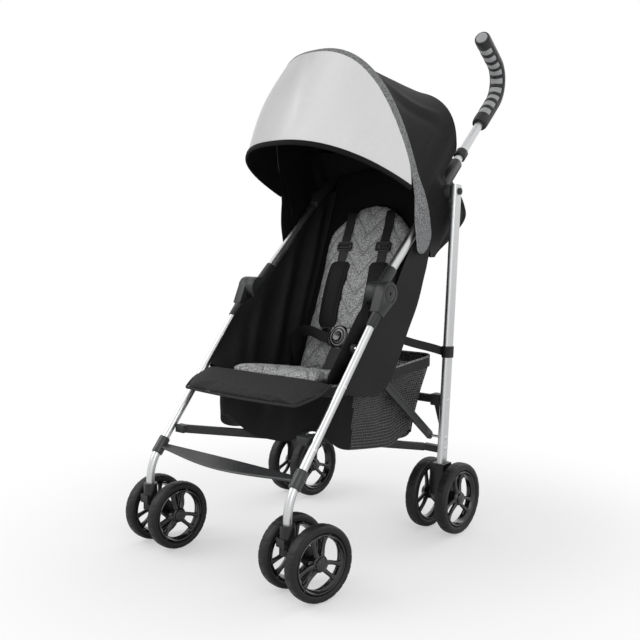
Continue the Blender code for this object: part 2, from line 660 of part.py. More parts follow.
def cross_brace(which):
    """Flat-oval bar from one rear leg to the opposite front leg; the two cross in the middle."""
    sign = SIDES[which]
    across, high = BRACE_BAR
    rear_x = REAR_X - REAR_TUBE[0] / 2 - 0.034
    front_x = FRONT_X - FRONT_TUBE_R - 0.018
    crossing = rear_x / (rear_x + front_x)
    front_lift = BRACE_LIFT + (high / 2 + BRACE_CROSSING - BRACE_LIFT) / crossing
    rear = Vector((sign * rear_x, BRACE_REAR_P[0] - 0.003, BRACE_REAR_P[1] - sign * BRACE_LIFT))
    front = Vector((-sign * front_x, BRACE_FRONT_P[0] + 0.004,
                    BRACE_FRONT_P[1] - sign * front_lift))
    run = front - rear
    outline = outline_mesh(rounded_box(run.length, high, 0.004), across)
    outline.transform(Matrix.Rotation(math.pi / 2, 4, "X"))
    rise = math.atan2(run.z, math.hypot(run.x, run.y))
    outline.transform(Matrix.Rotation(-rise, 4, "Y"))
    outline.transform(Matrix.Rotation(math.atan2(run.y, run.x), 4, "Z"))
    outline.transform(Matrix.Translation((rear + front) / 2))
    bar = place("cross_brace_" + which, outline, "charcoal_plastic")
    rear_in = sign * (REAR_X - REAR_TUBE[0] / 2 - 0.0004)
    front_in = -sign * (FRONT_X - FRONT_TUBE_R - 0.0004)
    join(bar, box_mesh((0.037, 0.014, high - 0.002)),
         (rear_in - sign * 0.0185, BRACE_REAR_P[0], rear.z))
    join(bar, box_mesh((0.024, 0.016, high - 0.001)),
         (front_in + sign * 0.012, BRACE_FRONT_P[0] + 0.002, front.z))


def rear_crossbar():
    """Bar between the rear legs, with a bracket and a gusset at each leg."""
    half = REAR_X - REAR_TUBE[0] / 2 - 0.0004
    bar = place("rear_crossbar", outline_mesh(rounded_box(0.012, 0.018, 0.004), 2 * half - 0.02),
                "charcoal_plastic", put(0, CROSSBAR_P), (0, math.pi / 2, 0))
    bar.data.transform(Matrix.Rotation(math.pi / 2, 4, "Z"))
    join(bar, cone_mesh(LEVER_BORE_R - GAP, LEVER_BORE_R - GAP, LEVER_W + 0.006, 16, axis="X"),
         put(0, CROSSBAR_P))
    for sign in SIDES.values():
        join(bar, box_mesh((0.022, 0.022, 0.024)), put(sign * (half - 0.011), CROSSBAR_P))
        drop = CROSSBAR_Z - LINK_Z - GUSSET_CLEAR
        gusset = outline_mesh([(-0.022, 0.004), (0.0, 0.004), (0.0, -drop), (-0.006, -drop)],
                              0.005)
        gusset.transform(Matrix.Rotation(math.pi / 2, 4, "X"))
        if sign < 0:
            gusset.transform(Matrix.Scale(-1, 4, (1, 0, 0)))
            gusset.flip_normals()
        join(bar, gusset, put(sign * half, CROSSBAR_P))
    return bar


def fold_lever():
    """Foot lever hung on the crossbar's middle: it is stepped on to release the fold."""
    lever = place("fold_lever", cone_mesh(LEVER_BORE_R + 0.0030, LEVER_BORE_R + 0.0030, LEVER_W,
                                          16, axis="X"), "charcoal_plastic", put(0, CROSSBAR_P))
    tread = [(0.009, -0.008), (0.044, -0.030), (0.072, -0.034), (0.073, -0.027), (0.048, -0.021),
             (0.012, 0.005)]
    join(lever, outline_mesh(tread, LEVER_W + 0.010, "X"), put(0, CROSSBAR_P))
    cut(lever, cone_mesh(LEVER_BORE_R, LEVER_BORE_R, 0.09, 16, axis="X"), put(0, CROSSBAR_P))


# Wheels

def tyre_mesh(radius, rim_radius):
    """A foam tyre: a round tread turned about the axle, flat at its lowest facet."""
    crown = radius / math.cos(math.pi / WHEEL_STEPS)
    seat = rim_radius / math.cos(math.pi / WHEEL_STEPS) + 2 * GAP
    half = TYRE_W / 2
    profile = [(crown, half * 0.52), (crown, -half * 0.52), (crown - 0.0045, -half * 0.92),
               (seat + 0.003, -half), (seat, -half * 0.62), (seat, half * 0.62),
               (seat + 0.003, half), (crown - 0.0045, half * 0.92)]
    return turned(profile, WHEEL_STEPS)


def turned(profile, steps):
    """A closed profile of (radius, height) turned about X, starting half a facet round."""
    start = math.pi / steps
    mesh = bpy.data.meshes.new("profile")
    points = [(r * math.cos(start), r * math.sin(start), h) for r, h in profile]
    count = len(points)
    mesh.from_pydata(points, [(i, (i + 1) % count) for i in range(count)], [])
    holder = bpy.data.objects.new("holder", mesh)
    CUTTERS.objects.link(holder)
    spin = holder.modifiers.new("spin", "SCREW")
    spin.steps = steps
    spin.render_steps = steps
    spin.use_merge_vertices = True
    spin.merge_threshold = 0.00001
    bpy.context.view_layer.update()
    made = bpy.data.meshes.new_from_object(
        holder.evaluated_get(bpy.context.evaluated_depsgraph_get())
    )
    bpy.data.objects.remove(holder, do_unlink=True)
    work = bmesh.new()
    work.from_mesh(made)
    bmesh.ops.remove_doubles(work, verts=work.verts, dist=1e-6)
    bmesh.ops.recalc_face_normals(work, faces=work.faces)
    work.to_mesh(made)
    work.free()
    made.transform(Matrix.Rotation(math.pi / 2, 4, "Y"))
    made.shade_smooth()
    made.set_sharp_from_angle(angle=math.radians(40))
    return made


def hub_mesh(rim_radius, outward):
    """Rim, web and boss turned in one, with three windows and three slots that leave the
    double-armed spokes. The cap side faces outward."""
    boss = 0.0130
    well = rim_radius - 0.0055
    rim = rim_radius / math.cos(math.pi / WHEEL_STEPS)
    profile = [(rim, 0.0100), (rim, -0.0100),
               (well, -0.0100), (well - 0.002, -0.0030), (boss + 0.001, -0.0030),
               (boss, -0.0120), (BORE_R, -0.0120), (BORE_R, 0.0100), (boss - 0.002, 0.0118),
               (boss, 0.0060), (well - 0.002, 0.0045), (well, 0.0100)]
    item = cutter(turned(profile, WHEEL_STEPS))
    inner, outer = boss + 0.0045, well - 0.0045
    for index in range(3):
        middle = 90 + 120 * index
        window = arc((0, 0), outer, middle - 36, middle + 36, 3)
        window += arc((0, 0), inner, middle + 22, middle - 22, 1)
        cut(item, outline_mesh(window, 0.05, "X"))
        spoke = math.radians(middle + 60)
        slot = outline_mesh(stadium(0.0052, outer - inner - 0.006, 2), 0.05, "X")
        middle_r = (outer + inner) / 2 + 0.002
        cut(item, slot, (0, middle_r * math.cos(spoke), middle_r * math.sin(spoke)),
            (spoke - math.pi / 2, 0, 0))
    made = item.data.copy()
    bpy.data.objects.remove(item, do_unlink=True)
    if outward < 0:
        made.transform(Matrix.Rotation(math.pi, 4, "Z"))
    made.materials.clear()
    return made


def wheel(name, parent, centre, radius, rim_radius, outward):
    """A tyre pressed on a hub; the hub turns on its axle."""
    place("hub_" + name, hub_mesh(rim_radius, outward), "gloss_black", centre, (0, 0, 0), parent)
    place("tyre_" + name, tyre_mesh(radius, rim_radius), "dark_foam_tyre", centre, (0, 0, 0),
          parent)


def caster(which):
    """Swivel fork on the leg's stem, with a wheel on each side."""
    sign = SIDES[which]
    swivel = empty("caster_axis_" + which, put(sign * FRONT_X, (STEM_P[0], 0.0)),
                   (0, 0, math.radians(CASTER_YAW[which])))
    top = STEM_END_Z + 0.022
    fork = place("caster_fork_" + which, cone_mesh(0.0150, 0.0135, 0.052, 16), "black_plastic",
                 (0, 0, top - 0.026), (0, 0, 0), swivel)
    outline = [(-0.016, 0.112), (-0.016, 0.096), (0.010, 0.080), (TRAIL - 0.011, FRONT_R - 0.006),
               (TRAIL, FRONT_R - 0.012), (TRAIL + 0.011, FRONT_R - 0.002),
               (TRAIL + 0.010, FRONT_R + 0.014), (0.026, 0.104), (0.014, 0.112)]
    join(fork, outline_mesh(outline, 0.024, "X"))
    cut(fork, cone_mesh(FRONT_TUBE_R + GAP, FRONT_TUBE_R + GAP, 0.046, 16),
        (0, 0, STEM_END_Z + 0.023 - GAP))
    reach = FRONT_PAIR_HALF + 0.0105
    join(fork, cone_mesh(AXLE_R, AXLE_R, 2 * reach, 12, axis="X"), (0, TRAIL, FRONT_R))
    rim = RIM_R * FRONT_R / REAR_R
    for side_name, out in (("outer", sign), ("inner", -sign)):
        wheel("front_" + which + "_" + side_name, swivel, (out * FRONT_PAIR_HALF, TRAIL, FRONT_R),
              FRONT_R, rim, out)


def rear_wheels(which):
    sign = SIDES[which]
    for side_name, out in (("outer", sign), ("inner", -sign)):
        centre = (sign * REAR_PAIR_X + out * REAR_PAIR_HALF, AXLE_P[0], REAR_R)
        wheel("rear_" + which + "_" + side_name, None, centre, REAR_R, RIM_R, out)


# Soft goods

def cloth_mesh(columns, rows, shape, thickness, offset=0.0, smooth=0):
    """A sheet on a grid of u and v from -1 to 1, moved onto shape(u, v), then given its wall."""
    work = bmesh.new()
    bmesh.ops.create_grid(work, x_segments=columns, y_segments=rows, size=1.0)
    for vert in work.verts:
        vert.co = shape(vert.co.x, vert.co.y)
    made = bpy.data.meshes.new("cloth")
    work.to_mesh(made)
    work.free()
    holder = bpy.data.objects.new("holder", made)
    CUTTERS.objects.link(holder)
    wall = holder.modifiers.new("wall", "SOLIDIFY")
    wall.thickness = thickness
    wall.offset = offset
    wall.use_even_offset = True
    bpy.context.view_layer.update()
    done = bpy.data.meshes.new_from_object(
        holder.evaluated_get(bpy.context.evaluated_depsgraph_get())
    )
    bpy.data.objects.remove(holder, do_unlink=True)
    work = bmesh.new()
    work.from_mesh(done)
    bmesh.ops.remove_doubles(work, verts=work.verts, dist=1e-6)
    bmesh.ops.recalc_face_normals(work, faces=work.faces)
    work.to_mesh(done)
    work.free()
    done.shade_smooth()
    return done


def cushion_mesh(columns, rows, outline, front, back):
    """A closed pad: a grid raised to front(u, v) over its flat back, both drawn onto outline."""
    work = bmesh.new()
    bmesh.ops.create_grid(work, x_segments=columns, y_segments=rows, size=1.0)
    low = list(work.faces)
    made = bmesh.ops.extrude_face_region(work, geom=low)
    top = [v for v in made["geom"] if isinstance(v, bmesh.types.BMVert)]
    raised = set(top)
    for vert in work.verts:
        u, v = vert.co.x, vert.co.y
        x, y = outline(u, v)
        vert.co = (x, y, front(u, v) if vert in raised else back)
    bmesh.ops.dissolve_faces(work, faces=[f for f in low if f.is_valid], use_verts=True)
    return mesh_of(work)


def crown(u, v, edge, height, sharp=4):
    """Pad thickness: edge at the rim, rising to height in the middle."""
    swell = (1 - abs(u) ** sharp) * (1 - abs(v) ** sharp)
    return edge + (height - edge) * swell


def back_outline(u, v):
    """Backrest pad: straight sides drawn in a little, and a round head."""
    head = max(0.0, (v - 0.35) / 0.65)
    narrow = 1 - 0.55 * head ** 2.6
    waist = 1 - 0.04 * math.sin(math.pi * (v + 1) / 2)
    return (SEAT_HALF * 0.98 * u * narrow * waist,
            BACK_LENGTH / 2 * (v + 1) - 0.030 * head * u * u)


def chevrons(u, v, rows, depth):
    """Sewn channels in a chevron: shallow valleys along slanted lines that meet mid-way."""
    phase = (v * rows / 2 + abs(u) * 0.9) * math.pi
    return -depth * math.cos(phase) ** 8


def backrest():
    """Grey pad, and the stiff black panel of the sling behind it."""
    tilt = math.radians(BACK_TILT)
    place("backrest_pad", cushion_mesh(
        12, 20, back_outline,
        lambda u, v: crown(u, v, 0.010, PAD_BACK) + chevrons(u, v, 10, 0.0015), 0.0),
        "heather_fabric", put(0, side(SEAT_BIGHT)), (tilt, 0, 0))

    def panel(u, v):
        head = max(0.0, (v - 0.3) / 0.7)
        x = (BACK_PANEL_HALF + 0.010 * head) * u
        return Vector((x, BACK_PANEL_LENGTH / 2 * (v + 1) - 0.006 * u * u * head,
                       -0.0005 - CLOTH / 2))

    place("back_panel", cloth_mesh(2, 6, panel, CLOTH), "black_fabric",
          put(0, side(SEAT_BIGHT)), (tilt, 0, 0))


def seat_cushion():
    front, bight = side(SEAT_FRONT), side(SEAT_BIGHT)
    run = front - bight
    length = float(np.linalg.norm(run)) - 0.018
    start = along(bight, run / np.linalg.norm(run), 0.018)

    def outline(u, v):
        return SEAT_HALF * 0.98 * u * (1 - 0.03 * (1 - v * v)), -length / 2 * (v + 1)

    place("seat_cushion", cushion_mesh(
        12, 10, outline,
        lambda u, v: crown(u, v, 0.010, PAD_SEAT) + chevrons(u, v, 5, 0.0015), 0.0),
        "heather_fabric", put(0, start), (math.atan2(-run[1], -run[0]), 0, 0))


def calf_flap():
    """Padded flap in front of the seat: wide at the seat, its lower corners cut off."""
    top = side((SEAT_FRONT[0] - 0.0008, SEAT_FRONT[1] - 0.0004))
    drop = math.radians(27)
    length = 0.094

    def outline(u, v):
        fall = (v + 1) / 2
        half = (FRONT_X - FRONT_TUBE_R - FLAP_CLEAR + 0.004 * math.sin(math.pi * fall)
                - 0.016 * max(0, fall - 0.55) / 0.45)
        return half * u, -length * fall * (1 + 0.06 * (1 - u * u))

    place("calf_flap", cushion_mesh(
        14, 8, outline, lambda u, v: crown(u, v, 0.007, 0.015, 6), 0.0),
        "charcoal_fabric", put(0, top), (drop, 0, 0))


def side_panel(which):
    """Sling side: from the tube and front leg down beside the back and under the seat."""
    sign = SIDES[which]
    tube_low = along(HINGE_P, FRONT_DIR, 0.205)
    tube_high = along(HINGE_P, UPPER_DIR, 0.300)
    front, bight = side(SEAT_FRONT), side(SEAT_BIGHT)
    sunk = np.array([0.0, -GAP - CLOTH / 2])
    back_top = along(bight, toward(BACK_TILT), BACK_LENGTH)
    outer_x = UPPER_X - BRACKET_HALF - CLOTH / 2 - 0.0005
    fold_x = BACK_PANEL_HALF + 0.0014

    def shape(u, v):
        s, t = (u + 1) / 2, (v + 1) / 2
        if s < 0.45:
            rim = tube_low + (HINGE_P - tube_low) * s / 0.45
        else:
            rim = HINGE_P + (tube_high - HINGE_P) * (s - 0.45) / 0.55
        under = min(1.0, max(0.0, (0.5 - s) / 0.06))
        if s < 0.5:
            base = front + (bight - front) * s / 0.5 + sunk
        else:
            base = bight + sunk + (back_top - bight) * (s - 0.5) / 0.5
        if t < 0.2:
            return Vector((sign * (fold_x - 0.030 * under * (1 - t / 0.2)), base[0], base[1]
                           + 0.012 * (1 - under) * t / 0.2))
        rise = (t - 0.2) / 0.8
        x = fold_x + (outer_x - fold_x) * math.sin(rise * math.pi / 2) ** 0.8
        foot = base + np.array([0.0, 0.012 * (1 - under)])
        point = foot + (rim - foot) * rise
        return Vector((sign * x, point[0], point[1]))

    place("side_panel_" + which, cloth_mesh(16, 5, shape, CLOTH), "black_fabric")


def basket():
    """Fabric basket under the seat, open at the back: deep in front, and sloped along the
    braces below it."""
    rim_front, rim_back = side((-0.318, 0.3472)), side((0.003, 0.374))
    low_front = over_braces(-0.298, BASKET_LIFT[0])
    low_back = over_braces(-0.038, BASKET_LIFT[1])
    half_top = LINK_X - LINK_T / 2 - BASKET_CLEAR
    half_low = half_top - 0.023

    def ring(fraction):
        half = half_low + (half_top - half_low) * fraction
        front = low_front + (rim_front - low_front) * fraction
        back = low_back + (rim_back - low_back) * fraction
        points = []
        corners = ((half, back[0], 0), (-half, back[0], 90),
                   (-half, front[0], 180), (half, front[0], 270))
        radius = 0.022
        for x, y, start in corners:
            inward = -radius if y == back[0] else radius
            centre = (x - math.copysign(radius, x), y + inward)
            points += arc(centre, radius, start, start + 90, 3)
        slope = (back[1] - front[1]) / (back[0] - front[0])
        return [(x, y, front[1] + slope * (y - front[0])) for x, y in points]

    work = bmesh.new()
    loops = [[work.verts.new(p) for p in ring(fraction)] for fraction in (1.0, 0.55, 0.2, 0.0)]
    for upper, lower in zip(loops, loops[1:]):
        for i in range(len(upper)):
            j = (i + 1) % len(upper)
            work.faces.new((upper[i], upper[j], lower[j], lower[i]))
    work.faces.new(loops[-1])
    bmesh.ops.recalc_face_normals(work, faces=work.faces)
    made = bpy.data.meshes.new("basket")
    work.to_mesh(made)
    work.free()
    item = place("basket", made, "black_mesh")
    wall = item.modifiers.new("wall", "SOLIDIFY")
    wall.thickness = CLOTH
    wall.offset = 0.0
    wall.use_even_offset = True


# Canopy

def bow_point(t, angle, reach, inset=0.0, shift=0.0, power=2.5):
    """A point of a bow, for t from -1 to 1 across: a super-ellipse in a plane through the bow
    foot. Its ends hang below the foot; shift moves it along its plane's normal."""
    turn = t * math.pi / 2
    half = CANOPY_HALF - inset
    x = half * math.copysign(abs(math.sin(turn)) ** (2 / power), t)
    out = -BOW_DROP + (reach - inset + BOW_DROP) * abs(math.cos(turn)) ** (2 / power)
    foot = side(BOW_FOOT)
    normal = toward(angle - 90)
    if out > 0:
        point = foot + toward(angle) * out
    else:
        point = foot + np.array([-out * BOW_HANG, out])
    point = point + normal * shift
    return np.array([x, point[0], point[1]])


def rear_bow_point(t, power=2.6):
    turn = t * math.pi / 2
    x = (CANOPY_HALF - 0.0022) * math.copysign(abs(math.sin(turn)) ** (2 / power), t)
    share = abs(math.cos(turn)) ** (2 / power)
    foot, top = side(REAR_BOW_BASE), side(REAR_BOW_TOP)
    point = foot + (top - foot) * share
    return np.array([x, point[0], point[1]])


def canopy_bow():
    """Trim band over the middle bow. Each end widens into a round wing with its pivot peg."""
    thick = 0.0030
    tail = 0.16

    def shape(u, v):
        run = min(1.0, abs(u) / (1 - tail))
        base = bow_point(math.copysign(run, u), BOW_ANGLE, BOW_REACH, -thick / 2)
        depth = side(BOW_FOOT)[1] + 0.045 - base[2]
        grow = min(1.0, max(0.0, depth / 0.105))
        half = TRIM_HALF + (WING_HALF - TRIM_HALF) * grow * grow * (3 - 2 * grow)
        across = toward(BOW_ANGLE - 90)
        beyond = max(0.0, abs(u) - (1 - tail)) / tail
        drop = WING_HALF * math.sin(beyond * math.pi * 0.46)
        half *= math.cos(beyond * math.pi * 0.46)
        return Vector((base[0], base[1] + across[0] * v * half, base[2] + across[1] * v * half
                       - drop))

    bow = place("canopy_bow", cloth_mesh(44, 1, shape, thick), "heather_fabric")
    for sign in SIDES.values():
        low, high = UPPER_X + UPPER_TUBE_R + 0.0004, CANOPY_HALF + thick / 2
        join(bow, cone_mesh(0.008, 0.008, high - low, 12, axis="X"),
             put(sign * (low + high) / 2, side(CANOPY_PIVOT)))


def visor():
    """Silver panel from the middle bow to the front rim."""

    def shape(u, v):
        s = (v + 1) / 2
        top = bow_point(u * 0.80, BOW_ANGLE, BOW_REACH, 0.0022, 0.0)
        top += (0, *(toward(BOW_ANGLE + 90) * 0.003))
        rim = rim_point(u * 0.93)
        bulge = 0.013 * math.sin(math.pi * s) * (1 - u * u)
        point = rim + (top - rim) * s
        return Vector((point[0], point[1] - bulge * 0.9, point[2] + bulge * 0.4))

    place("visor", cloth_mesh(20, 5, shape, CLOTH), "silver_fabric")


def rim_point(t, power=2.44):
    """A point of the visor's front rim."""
    turn = t * math.pi / 2
    x = (CANOPY_HALF - 0.004) * math.copysign(abs(math.sin(turn)) ** (2 / power), t)
    out = -0.02 + (VISOR_REACH + 0.02) * abs(math.cos(turn)) ** (2 / power)
    point = side(BOW_FOOT) + toward(VISOR_ANGLE) * out
    return np.array([x, point[0], point[1]])


def canopy_shell():
    """Hood between the middle bow and the rear bow, closed behind the head."""

    def shape(u, v):
        s = (v + 1) / 2
        t = u * 0.97
        front = bow_point(t, BOW_ANGLE, BOW_REACH, 0.0022, 0.0)
        front += (0, *(toward(BOW_ANGLE - 90) * 0.003))
        rear = rear_bow_point(t)
        if s <= 0.6:
            point = front + (rear - front) * s / 0.6
            sag = 0.010 * math.sin(math.pi * s / 0.6) * (1 - u * u)
            return Vector((point[0], point[1], point[2] - sag))
        drop = (s - 0.6) / 0.4
        beside = min(1.0, max(0.0, (abs(rear[0]) - 0.120) / 0.03))
        low = np.array([rear[0] * 0.985, rear[1] - 0.004, 0.780 + 0.030 * beside])
        return Vector(rear + (low - rear) * drop)

    place("canopy_shell", cloth_mesh(20, 9, shape, CLOTH), "black_fabric")


# Harness

def harness():
    """Shoulder straps with pads, joined across at the buckle."""
    spot = put(0, side(SEAT_BIGHT))
    tilt = (math.radians(BACK_TILT), 0, 0)
    low = PAD_BACK + 0.0006
    strap = place("harness", box_mesh((0.130, 0.022, 0.010), (0, 0.086, low + 0.005)),
                  "black_fabric", spot, tilt)
    for sign in SIDES.values():
        join(strap, box_mesh((0.042, 0.150, 0.010), (sign * 0.045, 0.168, low + 0.005)), spot, tilt)
        join(strap, box_mesh((0.024, 0.150, 0.0022), (sign * 0.045, 0.310, low + 0.0011)), spot,
             tilt)


def buckle():
    """Round central buckle on the lap, with a press button in its face."""
    spot = side(SEAT_BIGHT) + toward(BACK_TILT) * 0.086 + toward(BACK_TILT + 90) * (
        PAD_BACK + 0.0180)
    tilt = (math.radians(BACK_TILT), 0, 0)
    body = place("buckle", cone_mesh(0.026, 0.022, 0.014, 20), "gloss_black", put(0, spot), tilt)
    cut(body, cone_mesh(0.0105, 0.0105, 0.012, 16, (0, 0, 0.007)), put(0, spot), tilt)
    place("buckle_button", cone_mesh(0.0101, 0.0092, 0.0060, 16, (0, 0, 0.0075)), "gloss_black",
          put(0, spot), tilt)


# Joint axes

def pieces(*stems):
    """The objects whose names start with one of the stems."""
    return [item for item in PARTS.objects if item.name.startswith(stems)]


def hang(name, point, carried):
    """Puts an empty on a joint's axis, and parents what it carries to it without moving it."""
    pivot = empty(name, put(0, point))
    bpy.context.view_layer.update()
    for item in carried:
        item.parent = pivot
        item.matrix_parent_inverse = pivot.matrix_world.inverted()


def joint_axes():
    """From the outermost joint inwards. A wheel, lever, pedal or fork turns about its own origin."""
    hang("visor_axis", side(BOW_FOOT), pieces("visor"))
    hang("canopy_axis", side(CANOPY_PIVOT), pieces("canopy_bow", "visor_axis"))
    hang("recline_axis", side(SEAT_BIGHT), pieces("back", "harness", "buckle"))
    hang("side_link_axis", LINK_P, pieces("side_link_"))
    hang("cross_brace_axis", BRACE_REAR_P, pieces("cross_brace_"))
    hang("rear_fold_axis", PIVOT_P, pieces(
        "rear_", "hub_rear_", "tyre_rear_", "brake_pedal_", "basket", "fold_lever",
        "side_link_axis", "cross_brace_axis"))
    hang("front_fold_axis", HINGE_P, pieces(
        "front_leg_", "hinge_lower_", "foot_bar", "calf_flap", "caster_axis_"))


# The whole buggy

def build():
    for which in SIDES:
        handle(which)
        upper_bracket(which)
        canopy_clip(which)
        hinge_housings(which)
        front_leg(which)
        rear_leg(which)
        rear_housing(which)
        brake_pedal(which)
        side_link(which)
        cross_brace(which)
        side_panel(which)
        caster(which)
        rear_wheels(which)
    foot_bar()
    rear_crossbar()
    fold_lever()
    backrest()
    seat_cushion()
    calf_flap()
    basket()
    canopy_bow()
    visor()
    canopy_shell()
    harness()
    buckle()
    joint_axes()


build()
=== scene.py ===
"""Looks of the lightweight buggy: its finishes, cloth and padding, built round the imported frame.

Metres, +Z up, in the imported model's frame: the buggy faces -Y and its left side is +X.
"""

import math

import bmesh
import bpy
import numpy as np
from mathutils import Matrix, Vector


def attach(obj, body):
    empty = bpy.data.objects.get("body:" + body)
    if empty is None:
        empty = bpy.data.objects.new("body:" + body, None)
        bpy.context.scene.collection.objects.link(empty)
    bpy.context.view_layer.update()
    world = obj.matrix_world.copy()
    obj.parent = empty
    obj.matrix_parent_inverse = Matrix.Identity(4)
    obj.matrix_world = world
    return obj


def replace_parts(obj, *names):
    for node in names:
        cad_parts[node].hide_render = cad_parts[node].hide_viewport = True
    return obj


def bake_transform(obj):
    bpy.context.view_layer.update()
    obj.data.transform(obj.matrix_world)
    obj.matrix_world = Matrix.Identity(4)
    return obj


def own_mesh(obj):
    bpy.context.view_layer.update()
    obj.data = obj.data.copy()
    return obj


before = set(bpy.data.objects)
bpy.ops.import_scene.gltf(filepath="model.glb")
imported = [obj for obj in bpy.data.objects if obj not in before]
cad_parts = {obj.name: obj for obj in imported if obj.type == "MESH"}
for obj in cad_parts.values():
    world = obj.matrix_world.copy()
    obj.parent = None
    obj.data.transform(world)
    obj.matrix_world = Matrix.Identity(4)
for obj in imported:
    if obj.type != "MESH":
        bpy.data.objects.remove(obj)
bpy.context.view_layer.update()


# The view: a camera at waist height, in front of the buggy and to its left, as a catalogue
# picture of a pushchair is taken.
CAMERA_AT = (1.1088, -1.3535, 0.6145)
CAMERA_TURN = (84.61, 0.0, 40.526)
CAMERA_LENS = 45.51

scene = bpy.context.scene
camera = bpy.data.objects.new("camera", bpy.data.cameras.new("camera"))
scene.collection.objects.link(camera)
camera.location = CAMERA_AT
camera.rotation_euler = [math.radians(turn) for turn in CAMERA_TURN]
camera.data.lens = CAMERA_LENS
camera.data.sensor_width = 36.0
scene.camera = camera
scene.view_settings.view_transform = "Standard"


# The studio: two large soft lamps and an even surround. The camera, gloss and glass see the
# surround as white paper.
SURROUND_LIGHT = 0.62
LOOK_AT = (0.0, 0.0, 0.45)
LAMPS = {"key": ((-2.6, -2.4, 3.2), 2.6, 62.0), "fill": ((3.0, -1.6, 2.0), 2.4, 26.0),
         "back": ((0.6, 3.0, 2.6), 2.2, 24.0)}

world = bpy.data.worlds.new("studio")
scene.world = world
world.use_nodes = True
surround = world.node_tree.nodes["Background"]
surround.inputs["Color"].default_value = (1.0, 1.0, 1.0, 1.0)
ray = world.node_tree.nodes.new("ShaderNodeLightPath")
seen = ray.outputs["Is Camera Ray"]
for kind in ("Is Glossy Ray", "Is Transmission Ray"):
    either = world.node_tree.nodes.new("ShaderNodeMath")
    either.operation = "MAXIMUM"
    world.node_tree.links.new(seen, either.inputs[0])
    world.node_tree.links.new(ray.outputs[kind], either.inputs[1])
    seen = either.outputs[0]
level = world.node_tree.nodes.new("ShaderNodeMapRange")
level.inputs["To Min"].default_value = SURROUND_LIGHT
level.inputs["To Max"].default_value = 1.0
world.node_tree.links.new(seen, level.inputs["Value"])
world.node_tree.links.new(level.outputs["Result"], surround.inputs["Strength"])
for lamp_name, (at, size, power) in LAMPS.items():
    lamp = bpy.data.lights.new(lamp_name, "AREA")
    lamp.size, lamp.energy = size, power
    holder = bpy.data.objects.new(lamp_name, lamp)
    scene.collection.objects.link(holder)
    holder.location = at
    holder.rotation_euler = (Vector(LOOK_AT) - Vector(at)).to_track_quat("-Z", "Y").to_euler()


class Number:
    """A number that varies over a surface. Arithmetic on it adds Math nodes."""

    def __init__(self, finish, socket):
        self.finish, self.socket = finish, socket

    def maths(self, operation, *values):
        """A Math node's result for an operation on values."""
        return self.finish.node("ShaderNodeMath", {"operation": operation}, *values)

    def __add__(self, other):
        return self.maths("ADD", self, other)

    def __radd__(self, other):
        return self.maths("ADD", other, self)

    def __sub__(self, other):
        return self.maths("SUBTRACT", self, other)

    def __rsub__(self, other):
        return self.maths("SUBTRACT", other, self)

    def __mul__(self, other):
        return self.maths("MULTIPLY", self, other)

    def __rmul__(self, other):
        return self.maths("MULTIPLY", other, self)

    def __abs__(self):
        return self.maths("ABSOLUTE", self)

    def sine(self):
        """Its sine, in radians."""
        return self.maths("SINE", self)


class Finish:
    """A material: its Principled shader, and the nodes that vary it over the surface."""

    def __init__(self, name, colour, roughness, **constants):
        self.material = bpy.data.materials.new("finish_" + name)
        self.material.use_nodes = True
        self.tree = self.material.node_tree
        self.shader = self.tree.nodes["Principled BSDF"]
        self.shader.inputs["Base Color"].default_value = (*colour, 1.0)
        self.shader.inputs["Roughness"].default_value = roughness
        for socket, value in constants.items():
            self.shader.inputs[socket.replace("_", " ").title().replace("Ior", "IOR")
                               ].default_value = value
        self.place = self.node("ShaderNodeTexCoord", {}, output="Object")

    def node(self, kind, settings, *values, output=0, **named):
        """Adds a node: its settings first, then the values or links of its sockets."""
        made = self.tree.nodes.new(kind)
        for setting, value in settings.items():
            setattr(made, setting, value)
        for socket, value in list(enumerate(values)) + list(named.items()):
            if isinstance(value, Number):
                self.tree.links.new(value.socket, made.inputs[socket])
            else:
                made.inputs[socket].default_value = value
        return Number(self, made.outputs[output])

    def noise(self, scale, detail=2.0, place=None):
        """Noise from 0 to 1, in the finish's own coordinates or in those given."""
        return self.node("ShaderNodeTexNoise", {}, Vector=place or self.place, Scale=scale,
                         Detail=detail)

    def ramp(self, value, low, high):
        """0 below low, 1 above high."""
        return self.node("ShaderNodeMapRange", {"interpolation_type": "SMOOTHSTEP"}, value,
                         low, high, 0.0, 1.0)

    def feed(self, socket, value):
        """Drives one input of the Principled shader."""
        self.tree.links.new(value.socket, self.shader.inputs[socket])

    def tint(self, mask, dark, light):
        """Base colour from dark to light by a mask."""
        mix = self.tree.nodes.new("ShaderNodeMix")
        mix.data_type = "RGBA"
        mix.inputs[6].default_value = (*dark, 1.0)
        mix.inputs[7].default_value = (*light, 1.0)
        self.tree.links.new(mask.socket, mix.inputs[0])
        self.tree.links.new(mix.outputs[2], self.shader.inputs["Base Color"])

    def relief(self, height, distance):
        """Bump of a height from 0 to 1 that stands for distance in metres."""
        self.feed("Normal", self.node("ShaderNodeBump", {}, Height=height, Distance=distance,
                                      Strength=1.0))


